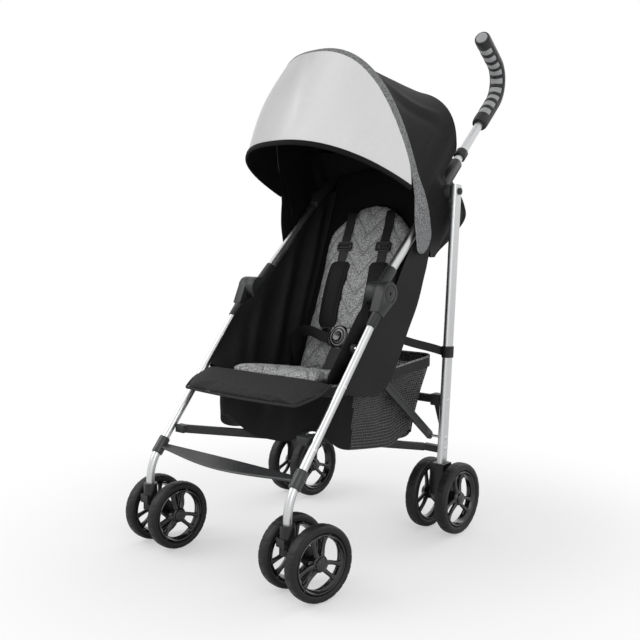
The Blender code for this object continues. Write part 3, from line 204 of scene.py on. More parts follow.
# The floor: a pale sheet of studio paper. It keeps the buggy's shadow near the wheels, lightened
# by a share, and fades to the white surround from one radius to another.
FLOOR_R = 7.0
FADE_FROM, FADE_TO, LIGHTENED = 0.42, 0.95, 0.45
floor_finish = Finish("paper", (0.93, 0.93, 0.935), 0.9)
floor_tree = floor_finish.tree
reach = floor_finish.node("ShaderNodeVectorMath", {"operation": "LENGTH"}, floor_finish.place,
                          output=1)
light_path = floor_tree.nodes.new("ShaderNodeLightPath")
fade = (floor_finish.ramp(reach, FADE_FROM, FADE_TO) * (1 - LIGHTENED) + LIGHTENED) * Number(
    floor_finish, light_path.outputs["Is Camera Ray"])
paper_white = floor_tree.nodes.new("ShaderNodeEmission")
paper_mix = floor_tree.nodes.new("ShaderNodeMixShader")
floor_tree.links.new(fade.socket, paper_mix.inputs[0])
floor_tree.links.new(floor_finish.shader.outputs[0], paper_mix.inputs[1])
floor_tree.links.new(paper_white.outputs[0], paper_mix.inputs[2])
floor_tree.links.new(paper_mix.outputs[0], floor_tree.nodes["Material Output"].inputs["Surface"])
floor_mesh = bpy.data.meshes.new("floor")
edge = np.radians(np.arange(0, 360, 6))
floor_rim = np.stack([FLOOR_R * np.cos(edge), FLOOR_R * np.sin(edge), 0 * edge - 0.0005], -1)
floor_mesh.from_pydata(floor_rim.tolist(), [], [list(range(len(edge)))])
floor_mesh.materials.append(floor_finish.material)
floor = bpy.data.objects.new("floor", floor_mesh)
scene.collection.objects.link(floor)


# The frame tubes: satin anodised aluminium. Round upper tubes and front legs, flat-oval rear
# legs, cut and drilled, then fixed with steel rivets.
AXLE_Y = 0.1140
UPPER_X, FRONT_X, REAR_X = 0.1665, 0.1885, 0.208
UPPER_R, FRONT_R = 0.0095, 0.008
REAR_SECTION = (0.015, 0.027)
SIDES = {"left": 1, "right": -1}
UPPER_ANGLE, FRONT_ANGLE = 43.5, 230.8
TUBE_FROM, TUBE_TO = 0.0275, 0.569
STEM_BEND, STEM_LOW = 0.034, 0.112
# how far down the front leg, and how high up the rear leg, the fixings are
LEG_RIVETS, LINK_PIN, BRACE_PIN, LEG_RIVET = (0.213, 0.344), 0.130, 0.1812, 0.283


def side(y, z):
    """A point of the side view, measured from under the rear axle."""
    return np.array([AXLE_Y + y, z])


def toward(degrees):
    """A direction of the side view, turned up from the back by degrees."""
    return np.array([math.cos(math.radians(degrees)), math.sin(math.radians(degrees))])


HINGE = side(-0.194, 0.518)
LEG_TOP = side(0.028, 0.724)
LEG_FOOT = side(-0.018, 0.0955)
LINK_EYE = side(-0.0101, 0.204)
UPPER_DIR, FRONT_DIR = toward(UPPER_ANGLE), toward(FRONT_ANGLE)
LEG_DIR = (LEG_FOOT - LEG_TOP) / np.linalg.norm(LEG_FOOT - LEG_TOP)
STEM = side(-0.477, STEM_LOW)
STEM_CORNER = HINGE + FRONT_DIR * (STEM[0] - HINGE[0]) / FRONT_DIR[0]


def leg_at(height):
    """The place on the rear leg's line at a height."""
    return LEG_TOP + LEG_DIR * (height - LEG_TOP[1]) / LEG_DIR[1]


def put(x, points):
    """Side-view points on the plane x, as 3-D points."""
    points = np.atleast_2d(points)
    return np.column_stack([np.broadcast_to(x, len(points)), points])


def ring(sides):
    """Angles evenly round a circle."""
    return np.linspace(0, 2 * np.pi, sides, endpoint=False)


def blunt(value, exponent):
    """A power that keeps its sign."""
    return np.sign(value) * np.abs(value) ** exponent


def oval(across, deep, sides, power=2.0):
    """A super-ellipse section: cosine and sine, each to the power 2 / power, with their signs."""
    turn = ring(sides)
    return np.stack([across / 2 * blunt(np.cos(turn), 2 / power),
                     deep / 2 * blunt(np.sin(turn), 2 / power)], -1)


def swept(path, section, up=(1.0, 0.0, 0.0), scale=None):
    """A section carried along a path: at each point its first axis lies along up, squared to
    the path's direction, and its second across both. scale changes its size along the path."""
    path, up = np.asarray(path, float), np.asarray(up, float)
    along = np.gradient(path, axis=0)
    along /= np.linalg.norm(along, axis=1, keepdims=True)
    first = up - along * (along * up).sum(1, keepdims=True)
    first /= np.linalg.norm(first, axis=1, keepdims=True)
    second = np.cross(along, first)
    size = np.ones((len(path), 2)) if scale is None else np.asarray(scale, float)
    section = np.broadcast_to(section, (len(path),) + np.shape(section)[-2:])
    return (path[:, None] + first[:, None] * (section[..., :1] * size[:, None, :1])
            + second[:, None] * (section[..., 1:] * size[:, None, 1:]))


def turned(profile, centre, steps, lean=0.0):
    """A closed profile of (radius, distance out) turned about X and stood at a centre; lean
    turns it about the vertical, in degrees."""
    turn = ring(steps)[:, None]
    radius, out = np.asarray(profile, float).T
    local = np.stack([np.broadcast_to(out, (steps, len(out))), radius * np.cos(turn),
                      radius * np.sin(turn)], -1)
    return stood(local, centre, lean)


def stood(local, centre, lean):
    """Points turned about the vertical by lean degrees, then moved to a centre."""
    c, s = math.cos(math.radians(lean)), math.sin(math.radians(lean))
    turn = np.array([[c, -s, 0.0], [s, c, 0.0], [0.0, 0.0, 1.0]])
    return local @ turn.T + np.asarray(centre, float)


def skin(points, wrap_rows=False, wrap_columns=True, capped=True):
    """Vertices and faces of a grid of points. Open rows of a wrapped skin get a cap: a fan to
    the middle of the row."""
    rows, columns = points.shape[:2]
    index = np.arange(rows * columns).reshape(rows, columns)
    if wrap_rows:
        index = np.vstack([index, index[:1]])
    if wrap_columns:
        index = np.hstack([index, index[:, :1]])
    quads = np.stack([index[:-1, :-1], index[1:, :-1], index[1:, 1:], index[:-1, 1:]], -1)
    faces = quads.reshape(-1, 4).tolist()
    vertices = points.reshape(-1, 3)
    if capped and wrap_columns and not wrap_rows:
        middles = np.stack([points[0].mean(0), points[-1].mean(0)])
        vertices = np.vstack([vertices, middles])
        for row, middle in ((index[0], len(vertices) - 2), (index[-1], len(vertices) - 1)):
            faces += np.stack([row[:-1], row[1:], np.full(len(row) - 1, middle)], -1).tolist()
    return vertices, faces


def placed(name, mesh, body, stands_for):
    """An object of a mesh, riding on a body and the CAD nodes it stands for."""
    made = bpy.data.objects.new(name, mesh)
    scene.collection.objects.link(made)
    if body:
        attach(made, body)
    if stands_for:
        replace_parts(made, *stands_for)
    return made


def piece(name, skins, finish, body, stands_for=(), crease=40.0, second=None):
    """One named piece made of skins, smooth below the crease angle, riding on a body."""
    vertices = np.vstack([v for v, _ in skins])
    starts = np.cumsum([0] + [len(v) for v, _ in skins])
    faces = [[corner + start for corner in face] for (_, fs), start in zip(skins, starts)
             for face in fs]
    mesh = bpy.data.meshes.new(name)
    mesh.from_pydata(vertices.tolist(), [], faces)
    work = bmesh.new()
    work.from_mesh(mesh)
    bmesh.ops.remove_doubles(work, verts=work.verts, dist=1e-6)
    bmesh.ops.recalc_face_normals(work, faces=work.faces)
    work.to_mesh(mesh)
    work.free()
    mesh.shade_smooth()
    mesh.set_sharp_from_angle(angle=math.radians(crease))
    mesh.materials.append(finish.material)
    if second:
        mesh.materials.append(second.material)
    return placed(name, mesh, body, stands_for)


def rivet(at, outward, radius=0.0042, height=0.0016):
    """A domed rivet head: a quarter ellipse turned about its own axis."""
    rise = np.linspace(0, np.pi / 2, 6)
    profile = np.stack([radius * np.cos(rise), height * np.sin(rise) * outward], -1)
    profile = np.vstack([[radius, -0.0008 * outward], profile, [1e-5, height * outward]])
    return skin(turned(profile, at, 20), wrap_rows=True, wrap_columns=False)


def pin(radius, length, at, out, steps):
    """A round pin that goes from a place outward along X, by the sign of out."""
    profile = [[radius, 0.0], [radius, out * length], [1e-5, out * length], [1e-5, 0.0]]
    return skin(turned(profile, at, steps), wrap_rows=True)


aluminium = Finish("satin_aluminium", (0.60, 0.605, 0.61), 0.30, metallic=1.0)
aluminium.feed("Roughness", 0.27 + aluminium.noise(35.0) * 0.12)
aluminium.relief(aluminium.noise(900.0), 0.00002)
steel = Finish("rivet_steel", (0.62, 0.62, 0.63), 0.22, metallic=1.0)
steel.feed("Roughness", 0.16 + steel.noise(420.0) * 0.16)

for which, sign in SIDES.items():
    run = HINGE + np.linspace(TUBE_FROM, TUBE_TO, 12)[:, None] * UPPER_DIR
    piece("tube_upper_" + which, [skin(swept(put(sign * UPPER_X, run), oval(2 * UPPER_R,
          2 * UPPER_R, 40)))], aluminium, "upper_frame", ["upper_tube_" + which])

    bend = np.linspace(0, 1, 14)[:, None]
    bend_in, bend_out = STEM_CORNER - FRONT_DIR * STEM_BEND, STEM_CORNER - (0.0, STEM_BEND)
    curve = bend_in * (1 - bend) ** 2 + 2 * STEM_CORNER * bend * (1 - bend) + bend_out * bend ** 2
    straight = HINGE + FRONT_DIR * np.linspace(0.0303, np.linalg.norm(bend_in - HINGE), 14
                                               )[:-1, None]
    stem = np.stack([np.full(6, STEM[0]), np.linspace(bend_out[1], STEM_LOW, 7)[1:]], -1)
    route = put(sign * FRONT_X, np.vstack([straight, curve, stem]))
    outer = sign * (FRONT_X + FRONT_R - 0.0004)
    heads = [rivet((outer, *(HINGE + FRONT_DIR * reach)), sign) for reach in LEG_RIVETS]
    link_boss = pin(0.0050, 0.0072, (sign * (FRONT_X - 0.004), *(HINGE + FRONT_DIR * LINK_PIN)),
                    -sign, 24)
    piece("leg_front_" + which, [skin(swept(route, oval(2 * FRONT_R, 2 * FRONT_R, 36)))],
          aluminium, "front_frame", ["front_leg_" + which])
    piece("rivets_front_" + which, heads + [link_boss], steel, "front_frame")

    down = np.linspace(-0.014, np.linalg.norm(leg_at(0.104) - LEG_TOP), 12)[:, None]
    section = oval(*REAR_SECTION, 40, 3.0)
    piece("leg_rear_" + which, [skin(swept(put(sign * REAR_X, LEG_TOP + LEG_DIR * down),
          section))], aluminium, "rear_frame", ["rear_leg_" + which])
    outer = sign * (REAR_X + REAR_SECTION[0] / 2 - 0.0002)
    heads = [rivet((outer, *at), sign) for at in (LINK_EYE, leg_at(BRACE_PIN), leg_at(LEG_RIVET))]
    link_pin = pin(0.003, 0.0335, (sign * (REAR_X - 0.004), *LINK_EYE), -sign, 20)
    piece("rivets_rear_" + which, heads + [link_pin], steel, "rear_frame")


# The tyres: solid dark foam, moulded with shallow grooves across the tread, satin where the
# mould was polished. Each is pressed on its hub.
REAR_WHEEL_R, FRONT_WHEEL_R = 0.0755, 0.068
RIM_R = 0.0585
TYRE_HALF, TYRE_SIDES, TYRE_POWER = 0.01325, 36, 2.7
TREAD_GROOVES, GROOVE_DEEP = 22, 0.0011
PAIR = {"rear": (0.203, 0.036), "front": (FRONT_X, 0.0387)}
TRAIL = 0.038
CASTER_LEAN = {"left": -10.9, "right": -3.4}


def wheel_places():
    """Name, centre, lean, outward side, radius and rim radius of each of the wheels."""
    for which, sign in SIDES.items():
        for place, out in (("outer", sign), ("inner", -sign)):
            name = which + "_" + place
            middle, half = PAIR["rear"]
            yield ("rear_" + name, (sign * middle + out * half, AXLE_Y, REAR_WHEEL_R), 0.0, out,
                   REAR_WHEEL_R, RIM_R)
            middle, half = PAIR["front"]
            pivot = (sign * middle, STEM[0], 0.0)
            centre = stood(np.array([out * half, TRAIL, FRONT_WHEEL_R]), pivot,
                           CASTER_LEAN[which])
            yield ("front_" + name, centre, CASTER_LEAN[which], out, FRONT_WHEEL_R,
                   RIM_R * FRONT_WHEEL_R / REAR_WHEEL_R)


def tyre_skin(radius, rim, centre, lean):
    """A super-ellipse section round the axle. Each groove is a narrow Gaussian dip of the tread,
    bent along the circle as it nears the side wall."""
    steps = TREAD_GROOVES * 10
    turn = ring(steps)[:, None]
    around = ring(TYRE_SIDES)
    bulge = blunt(np.cos(around), 2 / TYRE_POWER)
    out = blunt(np.sin(around), 2 / TYRE_POWER) * TYRE_HALF
    middle, half = (radius + rim) / 2, (radius - rim) / 2
    phase = (turn + 0.10 * np.abs(out) / TYRE_HALF) * TREAD_GROOVES / (2 * np.pi) % 1.0
    groove = np.exp(-((phase - 0.5) / 0.055) ** 2) * np.clip(bulge * 1.6 + 0.2, 0, 1)
    reach = middle + half * bulge - GROOVE_DEEP * groove
    local = np.stack([np.broadcast_to(out, (steps, TYRE_SIDES)) * (1 - 0.02 * groove),
                      reach * np.cos(turn), reach * np.sin(turn)], -1)
    return skin(stood(local, centre, lean), wrap_rows=True)


foam = Finish("tyre_foam", (0.010, 0.010, 0.011), 0.46, specular_ior_level=0.3)
cells = foam.noise(260.0, 3.0)
foam.tint(foam.noise(60.0, 3.0), (0.0065, 0.0065, 0.0070), (0.0125, 0.0125, 0.0132))
foam.feed("Roughness", 0.38 + cells * 0.22)
foam.relief(cells, 0.00012)
for name, centre, lean, out, radius, rim in wheel_places():
    piece("foam_" + name, [tyre_skin(radius, rim, centre, lean)], foam, "wheel_" + name,
          ["tyre_" + name], 60.0)


# The hubs: gloss black nylon in one moulding, a deep rim, a boss with a round cap, and three
# spokes of two arms each.
HUB_HALF = 0.0100
BOSS_R, CAP_R = 0.0150, 0.0128


def arm_skin(well, spoke, lift, centre, lean, out):
    """One arm of a spoke: an oval carried from the boss to the rim, along a line that swings
    away from the spoke's middle by the power 0.7 of the way out, and wider at both ends."""
    way = np.linspace(0, 1, 18)
    reach = 0.0105 + (well + 0.0008 - 0.0105) * way
    swing = lift * (0.0040 + 0.0090 * way ** 0.7)
    turn = math.radians(spoke)
    ahead, aside = np.array([math.cos(turn), math.sin(turn)]), np.array([-math.sin(turn),
                                                                        math.cos(turn)])
    line = reach[:, None] * ahead + swing[:, None] * aside
    path = np.column_stack([0.0016 - 0.0022 * np.sin(np.pi * way), line])
    wide = 0.0072 + 0.0075 * way ** 7 + 0.0030 * (1 - way) ** 3
    deep = 0.0098 - 0.0022 * np.sin(np.pi * way)
    arm = swept(path, oval(1.0, 1.0, 20, 2.6), scale=np.stack([deep, wide], -1))
    arm[..., 0] *= out
    return skin(stood(arm, centre, lean))


def hub_skins(rim, centre, lean, out):
    """The rim, boss and cap are profiles turned about the axle; the arms join them."""
    well = rim - 0.0070
    barrel = [(rim - 0.0002, -HUB_HALF), (rim - 0.0002, HUB_HALF),
              (rim - 0.0012, HUB_HALF + 0.0008), (rim - 0.0030, HUB_HALF),
              (rim - 0.0042, HUB_HALF - 0.003), (well, 0.0035), (well, -0.0020),
              (rim - 0.0042, -HUB_HALF + 0.003), (rim - 0.0030, -HUB_HALF)]
    boss = [(0.0043, -0.0125), (0.0130, -0.0120), (0.0138, -0.0100), (BOSS_R, -0.0030),
            (BOSS_R + 0.0012, 0.0020), (BOSS_R - 0.0004, 0.0062), (CAP_R + 0.0004, 0.0074),
            (CAP_R, 0.0068), (0.0043, 0.0068)]
    cap = [(1e-5, 0.0060), (CAP_R - 0.0004, 0.0060), (CAP_R - 0.0004, 0.0100),
           (CAP_R - 0.0014, 0.0112), (0.0104, 0.0114), (0.0097, 0.0108), (0.0090, 0.0108),
           (0.0083, 0.0115), (0.0040, 0.0121), (1e-5, 0.0123)]
    skins = []
    for profile, steps in ((barrel, 72), (boss, 48), (cap, 48)):
        profile = np.array(profile)
        profile[:, 1] *= out
        skins.append(skin(turned(profile, centre, steps, lean), wrap_rows=True))
    for spoke in (90, 210, 330):
        skins += [arm_skin(well, spoke, lift, centre, lean, out) for lift in (-1, 1)]
    return skins


gloss = Finish("hub_gloss", (0.006, 0.006, 0.0065), 0.16, coat_weight=0.3, coat_roughness=0.06)
gloss.feed("Roughness", 0.13 + gloss.noise(90.0) * 0.10)
gloss.relief(gloss.noise(140.0), 0.00003)
for name, centre, lean, out, radius, rim in wheel_places():
    piece("spokes_" + name, hub_skins(rim, centre, lean, out), gloss, "wheel_" + name,
          ["hub_" + name], 32.0)


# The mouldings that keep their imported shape: brackets, clips, links, braces, the crossbar and
# lever, housings, forks and pedals. Their doubles are merged, their flats made whole and their
# edges rounded as a mould rounds them.
MERGE, FLAT_WITHIN, EDGE_FROM = 2e-5, math.radians(2.0), math.radians(38)


def moulded(node, body, finish, round_by=0.0009):
    """A copy of a CAD node's mesh with rounded edges, standing for it."""
    work = bmesh.new()
    work.from_mesh(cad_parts[node].data)
    bmesh.ops.remove_doubles(work, verts=work.verts, dist=MERGE)
    bmesh.ops.dissolve_limit(work, angle_limit=FLAT_WITHIN, verts=work.verts, edges=work.edges)
    bmesh.ops.recalc_face_normals(work, faces=work.faces)
    mesh = bpy.data.meshes.new("moulded_" + node)
    work.to_mesh(mesh)
    work.free()
    mesh.shade_smooth()
    mesh.materials.clear()
    mesh.materials.append(finish.material)
    made = placed("moulded_" + node, mesh, body, [node])
    edge_round = made.modifiers.new("edge", "BEVEL")
    edge_round.width = round_by
    edge_round.segments = 2
    edge_round.limit_method = "ANGLE"
    edge_round.angle_limit = EDGE_FROM
    edge_round.harden_normals = True
    edge_round.use_clamp_overlap = True


charcoal = Finish("charcoal_nylon", (0.022, 0.023, 0.023), 0.42, specular_ior_level=0.35)
charcoal.tint(charcoal.noise(26.0, 3.0), (0.017, 0.018, 0.018), (0.026, 0.027, 0.027))
charcoal.feed("Roughness", 0.36 + charcoal.noise(45.0) * 0.16)
charcoal.relief(charcoal.noise(1300.0), 0.00005)
black = Finish("black_nylon", (0.0060, 0.0060, 0.0064), 0.34, specular_ior_level=0.4)
black.feed("Roughness", 0.28 + black.noise(60.0) * 0.14)
black.relief(black.noise(1100.0), 0.00004)

for which in SIDES:
    for node, body in (("upper_bracket_", "upper_frame"), ("side_link_", "side_links"),
                       ("cross_brace_", "cross_braces"), ("hinge_upper_", "upper_frame"),
                       ("hinge_lower_", "front_frame"), ("canopy_clip_", "upper_frame")):
        moulded(node + which, body, charcoal)
    moulded("rear_housing_" + which, "rear_frame", black)
    moulded("brake_pedal_" + which, "brake_pedal_" + which, black, 0.0014)
    moulded("caster_fork_" + which, "caster_" + which, black, 0.0012)
moulded("rear_crossbar", "rear_frame", charcoal)
moulded("fold_lever", "fold_lever", charcoal, 0.0013)


# The foot bar: one charcoal strap with a clamp round each front leg. Its tread is a crescent,
# hollowed a little on top and polished by shoes.
FOOT_BAR = HINGE + FRONT_DIR * 0.403
FOOT_TILT = math.radians(18.0)
across = np.linspace(-1, 1, 49)
bow = np.cos(across * np.pi / 2)
front_edge, rear_edge = -0.008 - 0.020 * bow ** 1.3, 0.008 + 0.002 * bow
depth, middle = (rear_edge - front_edge) / 2, (rear_edge + front_edge) / 2
section = oval(2.0, 1.0, 28, 3.4)
hollow = -0.28 * np.exp(-(section[:, 0] / 0.75) ** 4) * (section[:, 1] > 0)
local_y = middle[:, None] + depth[:, None] * section[:, 0]
local_z = 0.0056 * (section[:, 1] + hollow * bow[:, None])
tread = np.stack([np.broadcast_to((FRONT_X - FRONT_R + 0.001) * across[:, None], local_y.shape),
                  FOOT_BAR[0] + local_y * math.cos(FOOT_TILT) - local_z * math.sin(FOOT_TILT),
                  FOOT_BAR[1] + local_y * math.sin(FOOT_TILT) + local_z * math.cos(FOOT_TILT)],
                 -1)
clamps = []
for sign in SIDES.values():
    reach = np.array([-0.0180, -0.0172, -0.0160, 0.0160, 0.0172, 0.0180])
    size = np.array([0.0104, 0.0110, 0.0113, 0.0113, 0.0110, 0.0104]) * 2
    clamps.append(skin(swept(put(sign * FRONT_X, FOOT_BAR + FRONT_DIR * reach[:, None]),
                             oval(1.0, 1.0, 36), scale=np.stack([size, size], -1))))
    clamps.append(rivet((sign * (FRONT_X + 0.0110), *FOOT_BAR), sign, 0.0032, 0.0012))
foot = Finish("foot_bar_nylon", (0.026, 0.027, 0.028), 0.30)
foot.tint(foot.noise(18.0, 4.0), (0.020, 0.021, 0.022), (0.033, 0.034, 0.036))
foot.feed("Roughness", 0.20 + foot.noise(30.0, 4.0) * 0.20)
foot.relief(foot.noise(900.0), 0.00003)
piece("foot_bar_strap", [skin(tread)] + clamps, foot, "front_frame", ["foot_bar"])


# The handles: a charcoal shell over a grey core, moulded in two shots. The core shows in nine
# windows between the shell's ribs and at the end cap.
GRIP_R, CORE_R = 0.0178, 0.0164
GRIP_START = 0.531
HANDLE_TURN, HANDLE_KINK, HANDLE_BEND_R, HANDLE_END = 111.1, 0.692, 0.054, 0.173
HANDLE_TOE = {"left": 8.3, "right": -8.3}
WINDOWS, FIRST_WINDOW, LAST_WINDOW = 9, 0.022, 0.020


def handle_line(start, end, step=0.0015):
    """The grip's centre line at even steps: straight along the tube, an arc, straight again."""
    corner = HINGE + UPPER_DIR * HANDLE_KINK
    tangent = HANDLE_BEND_R * math.tan(math.radians(HANDLE_TURN / 2))
    first = HANDLE_KINK - tangent - start
    arc = HANDLE_BEND_R * math.radians(HANDLE_TURN)
    total = first + arc + HANDLE_END - tangent - end
    reach = np.linspace(0, total, int(total / step))[:, None]
    heading = UPPER_ANGLE + np.degrees(np.clip((reach - first) / HANDLE_BEND_R, 0, None))
    heading = np.radians(np.clip(heading, UPPER_ANGLE, UPPER_ANGLE + HANDLE_TURN))
    centre = corner - UPPER_DIR * tangent + toward(UPPER_ANGLE + 90) * HANDLE_BEND_R
    on_arc = centre + HANDLE_BEND_R * np.hstack([np.cos(heading - np.pi / 2),
                                                 np.sin(heading - np.pi / 2)])
    out = toward(UPPER_ANGLE + HANDLE_TURN)
    low = HINGE + UPPER_DIR * (start + reach)
    high = corner + out * (tangent + reach - first - arc)
    line = np.where(reach < first, low, np.where(reach < first + arc, on_arc, high))
    return line, reach[:, 0], total


def toed(points, which):
    """Points turned about the upper tube's line, as each handle toes out."""
    turn = math.radians(HANDLE_TOE[which])
    axis = np.array([0.0, *UPPER_DIR])
    base = np.array([SIDES[which] * UPPER_X, *HINGE])
    local = points - base
    along = (local @ axis)[..., None] * axis
    return base + local * math.cos(turn) + np.cross(axis, local) * math.sin(turn) + along * (
        1 - math.cos(turn))


rubber = Finish("grip_core", (0.33, 0.335, 0.34), 0.55)
rubber.tint(rubber.noise(70.0), (0.29, 0.295, 0.30), (0.38, 0.385, 0.39))
rubber.relief(rubber.noise(1500.0), 0.00006)
shell = Finish("grip_shell", (0.016, 0.0164, 0.0172), 0.50, specular_ior_level=0.35)
shell.feed("Roughness", 0.44 + shell.noise(60.0) * 0.14)
shell.relief(shell.noise(1400.0), 0.00006)
for which, sign in SIDES.items():
    line, reach, total = handle_line(GRIP_START, 0.004)
    around = ring(48)
    # a window is a bay of the shell, sunk by a smooth step, on the inside of the bend and
    # turned a little outwards
    place = (reach - FIRST_WINDOW) / (total - FIRST_WINDOW - LAST_WINDOW) * WINDOWS
    bay = np.where((place > 0) & (place < WINDOWS), np.abs(place % 1 - 0.5) * 2, 1.0)
    open_along = 1 / (1 + np.exp((bay - 0.60) * 26))
    facing = np.cos(around[None] + np.pi / 2 - sign * 0.12)
    open_round = 1 / (1 + np.exp((0.48 - facing) * 20))
    sunk = open_along[:, None] * open_round
    taper = 1 - 0.10 * np.exp(-reach / 0.004) - 0.10 * np.exp(-(total - reach) / 0.0025)
    size = GRIP_R * taper[:, None] * (1 - 0.13 * sunk)
    section = np.stack([size * np.cos(around), size * np.sin(around)], -1)
    outside = swept(put(sign * UPPER_X, line), section)
    piece("grip_shell_" + which, [skin(toed(outside, which))], shell, "upper_frame",
          ["grip_skin_" + which], 50.0)
    core_line, _, _ = handle_line(GRIP_START + 0.001, 0.0060)
    middle = swept(put(sign * UPPER_X, core_line), oval(2 * CORE_R, 2 * CORE_R, 48))
    button = np.array([[0.0126, -0.004], [0.0132, 0.0], [0.0127, 0.0016], [0.0100, 0.0030],
                       [0.0001, 0.0038]])
    tip = line[-1] + toward(UPPER_ANGLE + HANDLE_TURN) * button[:, 1:]
    cap = swept(put(sign * UPPER_X, tip), oval(2.0, 2.0, 40),
                scale=np.repeat(button[:, :1], 2, 1))
    piece("grip_core_" + which, [skin(toed(middle, which)), skin(toed(cap, which))], rubber,
          "upper_frame", ["grip_core_" + which])


# The visor: silver satin, cut in one piece, lined in black and sewn to the trim. Its front edge
# is bound in black over a spring wire.
CANOPY_HALF = 0.184
BOW_FOOT = side(-0.075, 0.717)
BOW_ANGLE, BOW_REACH, BOW_DROP, BOW_HANG = 112.9, 0.308, 0.092, 0.18
BOW_LEAN = 0.018
BOW_BACK = toward(BOW_ANGLE - 90)
VISOR_ANGLE, VISOR_REACH = 158.6, 0.252


def smooth(value, low, high):
    """0 below low, 1 above high, and a cubic step between."""
    way = np.clip((value - low) / (high - low), 0, 1)
    return way * way * (3 - 2 * way)


def even(line, count):
    """A line of points taken again at equal distances along it."""
    reach = np.concatenate([[0], np.cumsum(np.linalg.norm(np.diff(line, axis=0), axis=1))])
    goal = np.linspace(0, reach[-1], count)
    return np.stack([np.interp(goal, reach, line[:, k]) for k in range(3)], -1)


def arch(half, low, high, power, span, count):
    """A super-ellipse arch: across by the sine to 2 / power, and from low up to high, two points
    of the side view, by the cosine to 2 / power."""
    turn = np.linspace(-span, span, 2401) * np.pi / 2
    share = np.abs(np.cos(turn))[:, None] ** (2 / power)
    return even(put(half * blunt(np.sin(turn), 2 / power), low + (high - low) * share), count)


def bow_line(span, count, inset=0.0):
    """The middle bow: an arch in a plane through its foot, whose ends hang below it. Between
    foot and top it leans back by share ^ 1.5 (1 - share) ^ 0.5 of the way up."""
    turn = np.linspace(-span, span, 2401) * np.pi / 2
    out = -BOW_DROP + (BOW_REACH - inset + BOW_DROP) * np.abs(np.cos(turn))[:, None] ** 0.8
    share = (out / (BOW_REACH - inset)).clip(0, 1)
    flat = np.where(out > 0, BOW_FOOT + toward(BOW_ANGLE) * out,
                    BOW_FOOT + np.hstack([-out * BOW_HANG, out]))
    flat = flat + BOW_BACK * BOW_LEAN * share ** 1.5 * (1 - share) ** 0.5 / 0.325
    return even(put((CANOPY_HALF - inset) * blunt(np.sin(turn), 0.8), flat), count)


def normals_of(points):
    """Unit normals of a grid: the cross product of its two directions."""
    down, along = np.gradient(points, axis=(0, 1))
    normal = np.cross(down, along)
    return normal / np.maximum(np.linalg.norm(normal, axis=-1, keepdims=True), 1e-12)


def raised(points, height):
    """A grid moved along its normals by a height."""
    return points + normals_of(points) * height[..., None]


def fold(across, along, start, stop, width):
    """A crease from start to stop: a Gaussian across the line, faded over both its ends."""
    start, stop = np.array(start, float), np.array(stop, float)
    length = np.linalg.norm(stop - start)
    way = (stop - start) / length
    run = (across - start[0]) * way[0] + (along - start[1]) * way[1]
    off = (along - start[1]) * way[0] - (across - start[0]) * way[1]
    ends = smooth(run, -0.02, 0.30 * length) * (1 - smooth(run, 0.65 * length, length + 0.02))
    return np.exp(-(off / width) ** 2) * ends


def cut_plan(points):
    """Where each point of a grid was in the flat cloth: metres across, and metres along."""
    wide = np.linalg.norm(np.diff(points, axis=1), axis=-1).sum(1).mean()
    long = np.linalg.norm(np.diff(points, axis=0), axis=-1).sum(0).mean()
    return np.stack(np.meshgrid(np.linspace(0, wide, points.shape[1]),
                                np.linspace(0, long, points.shape[0])), -1)


def corners_of(mesh):
    """The vertex at each corner of a mesh's faces."""
    corners = np.empty(len(mesh.loops), int)
    mesh.loops.foreach_get("vertex_index", corners)
    return corners


def planned(mesh, flat):
    """Gives a mesh its UV map: the place of each vertex in the flat cloth."""
    mesh.uv_layers.new(name="cut").data.foreach_set("uv", flat[corners_of(mesh)].ravel())


def built(name, vertices, faces, flat, finish, body, stands_for=(), marks=None,
          second=None, crease=50.0):
    """A fabric piece. Its UV map holds each vertex's place in the flat cloth, in metres, and
    marks says which faces are of the second finish."""
    mesh = bpy.data.meshes.new(name)
    mesh.from_pydata(vertices.tolist(), [], faces.tolist())
    mesh.materials.append(finish.material)
    if second:
        mesh.materials.append(second.material)
        mesh.polygons.foreach_set("material_index", marks)
    planned(mesh, flat)
    mesh.shade_smooth()
    mesh.set_sharp_from_angle(angle=math.radians(crease))
    return placed(name, mesh, body, stands_for)


def walled(points, back):
    """Vertices and faces of a closed form: a front grid, a back grid of the same size, and the
    edge between them."""
    rows, columns = points.shape[:2]
    count = rows * columns
    index = np.arange(count).reshape(rows, columns)
    face = np.stack([index[:-1, :-1], index[1:, :-1], index[1:, 1:], index[:-1, 1:]],
                    -1).reshape(-1, 4)
    edge = np.concatenate([index[:-1, 0], index[-1, :-1], index[:0:-1, -1], index[0, :0:-1]])
    after = np.roll(edge, -1)
    hem = np.stack([after, edge, edge + count, after + count], -1)
    return (np.concatenate([points.reshape(-1, 3), back.reshape(-1, 3)]),
            np.vstack([face, face[:, ::-1] + count, hem]))


def cloth(name, points, finish, body, stands_for=(), thickness=0.0012, lining=None):
    """A sheet on a grid of points: the face, a lining one thickness behind it along the normals,
    and the edge between them."""
    vertices, faces = walled(points, points - normals_of(points) * thickness)
    face_count = (points.shape[0] - 1) * (points.shape[1] - 1)
    marks = (np.arange(len(faces)) // face_count == 1).astype(int)
    flat = np.tile(cut_plan(points).reshape(-1, 2), (2, 1))
    return built(name, vertices, faces, flat, finish, body, stands_for, marks, lining)


def band(name, line, width_way, section, finish, body):
    """A binding or a strap: a section carried along a line, its width along width_way."""
    return piece(name, [skin(swept(line, section, width_way))], finish, body)


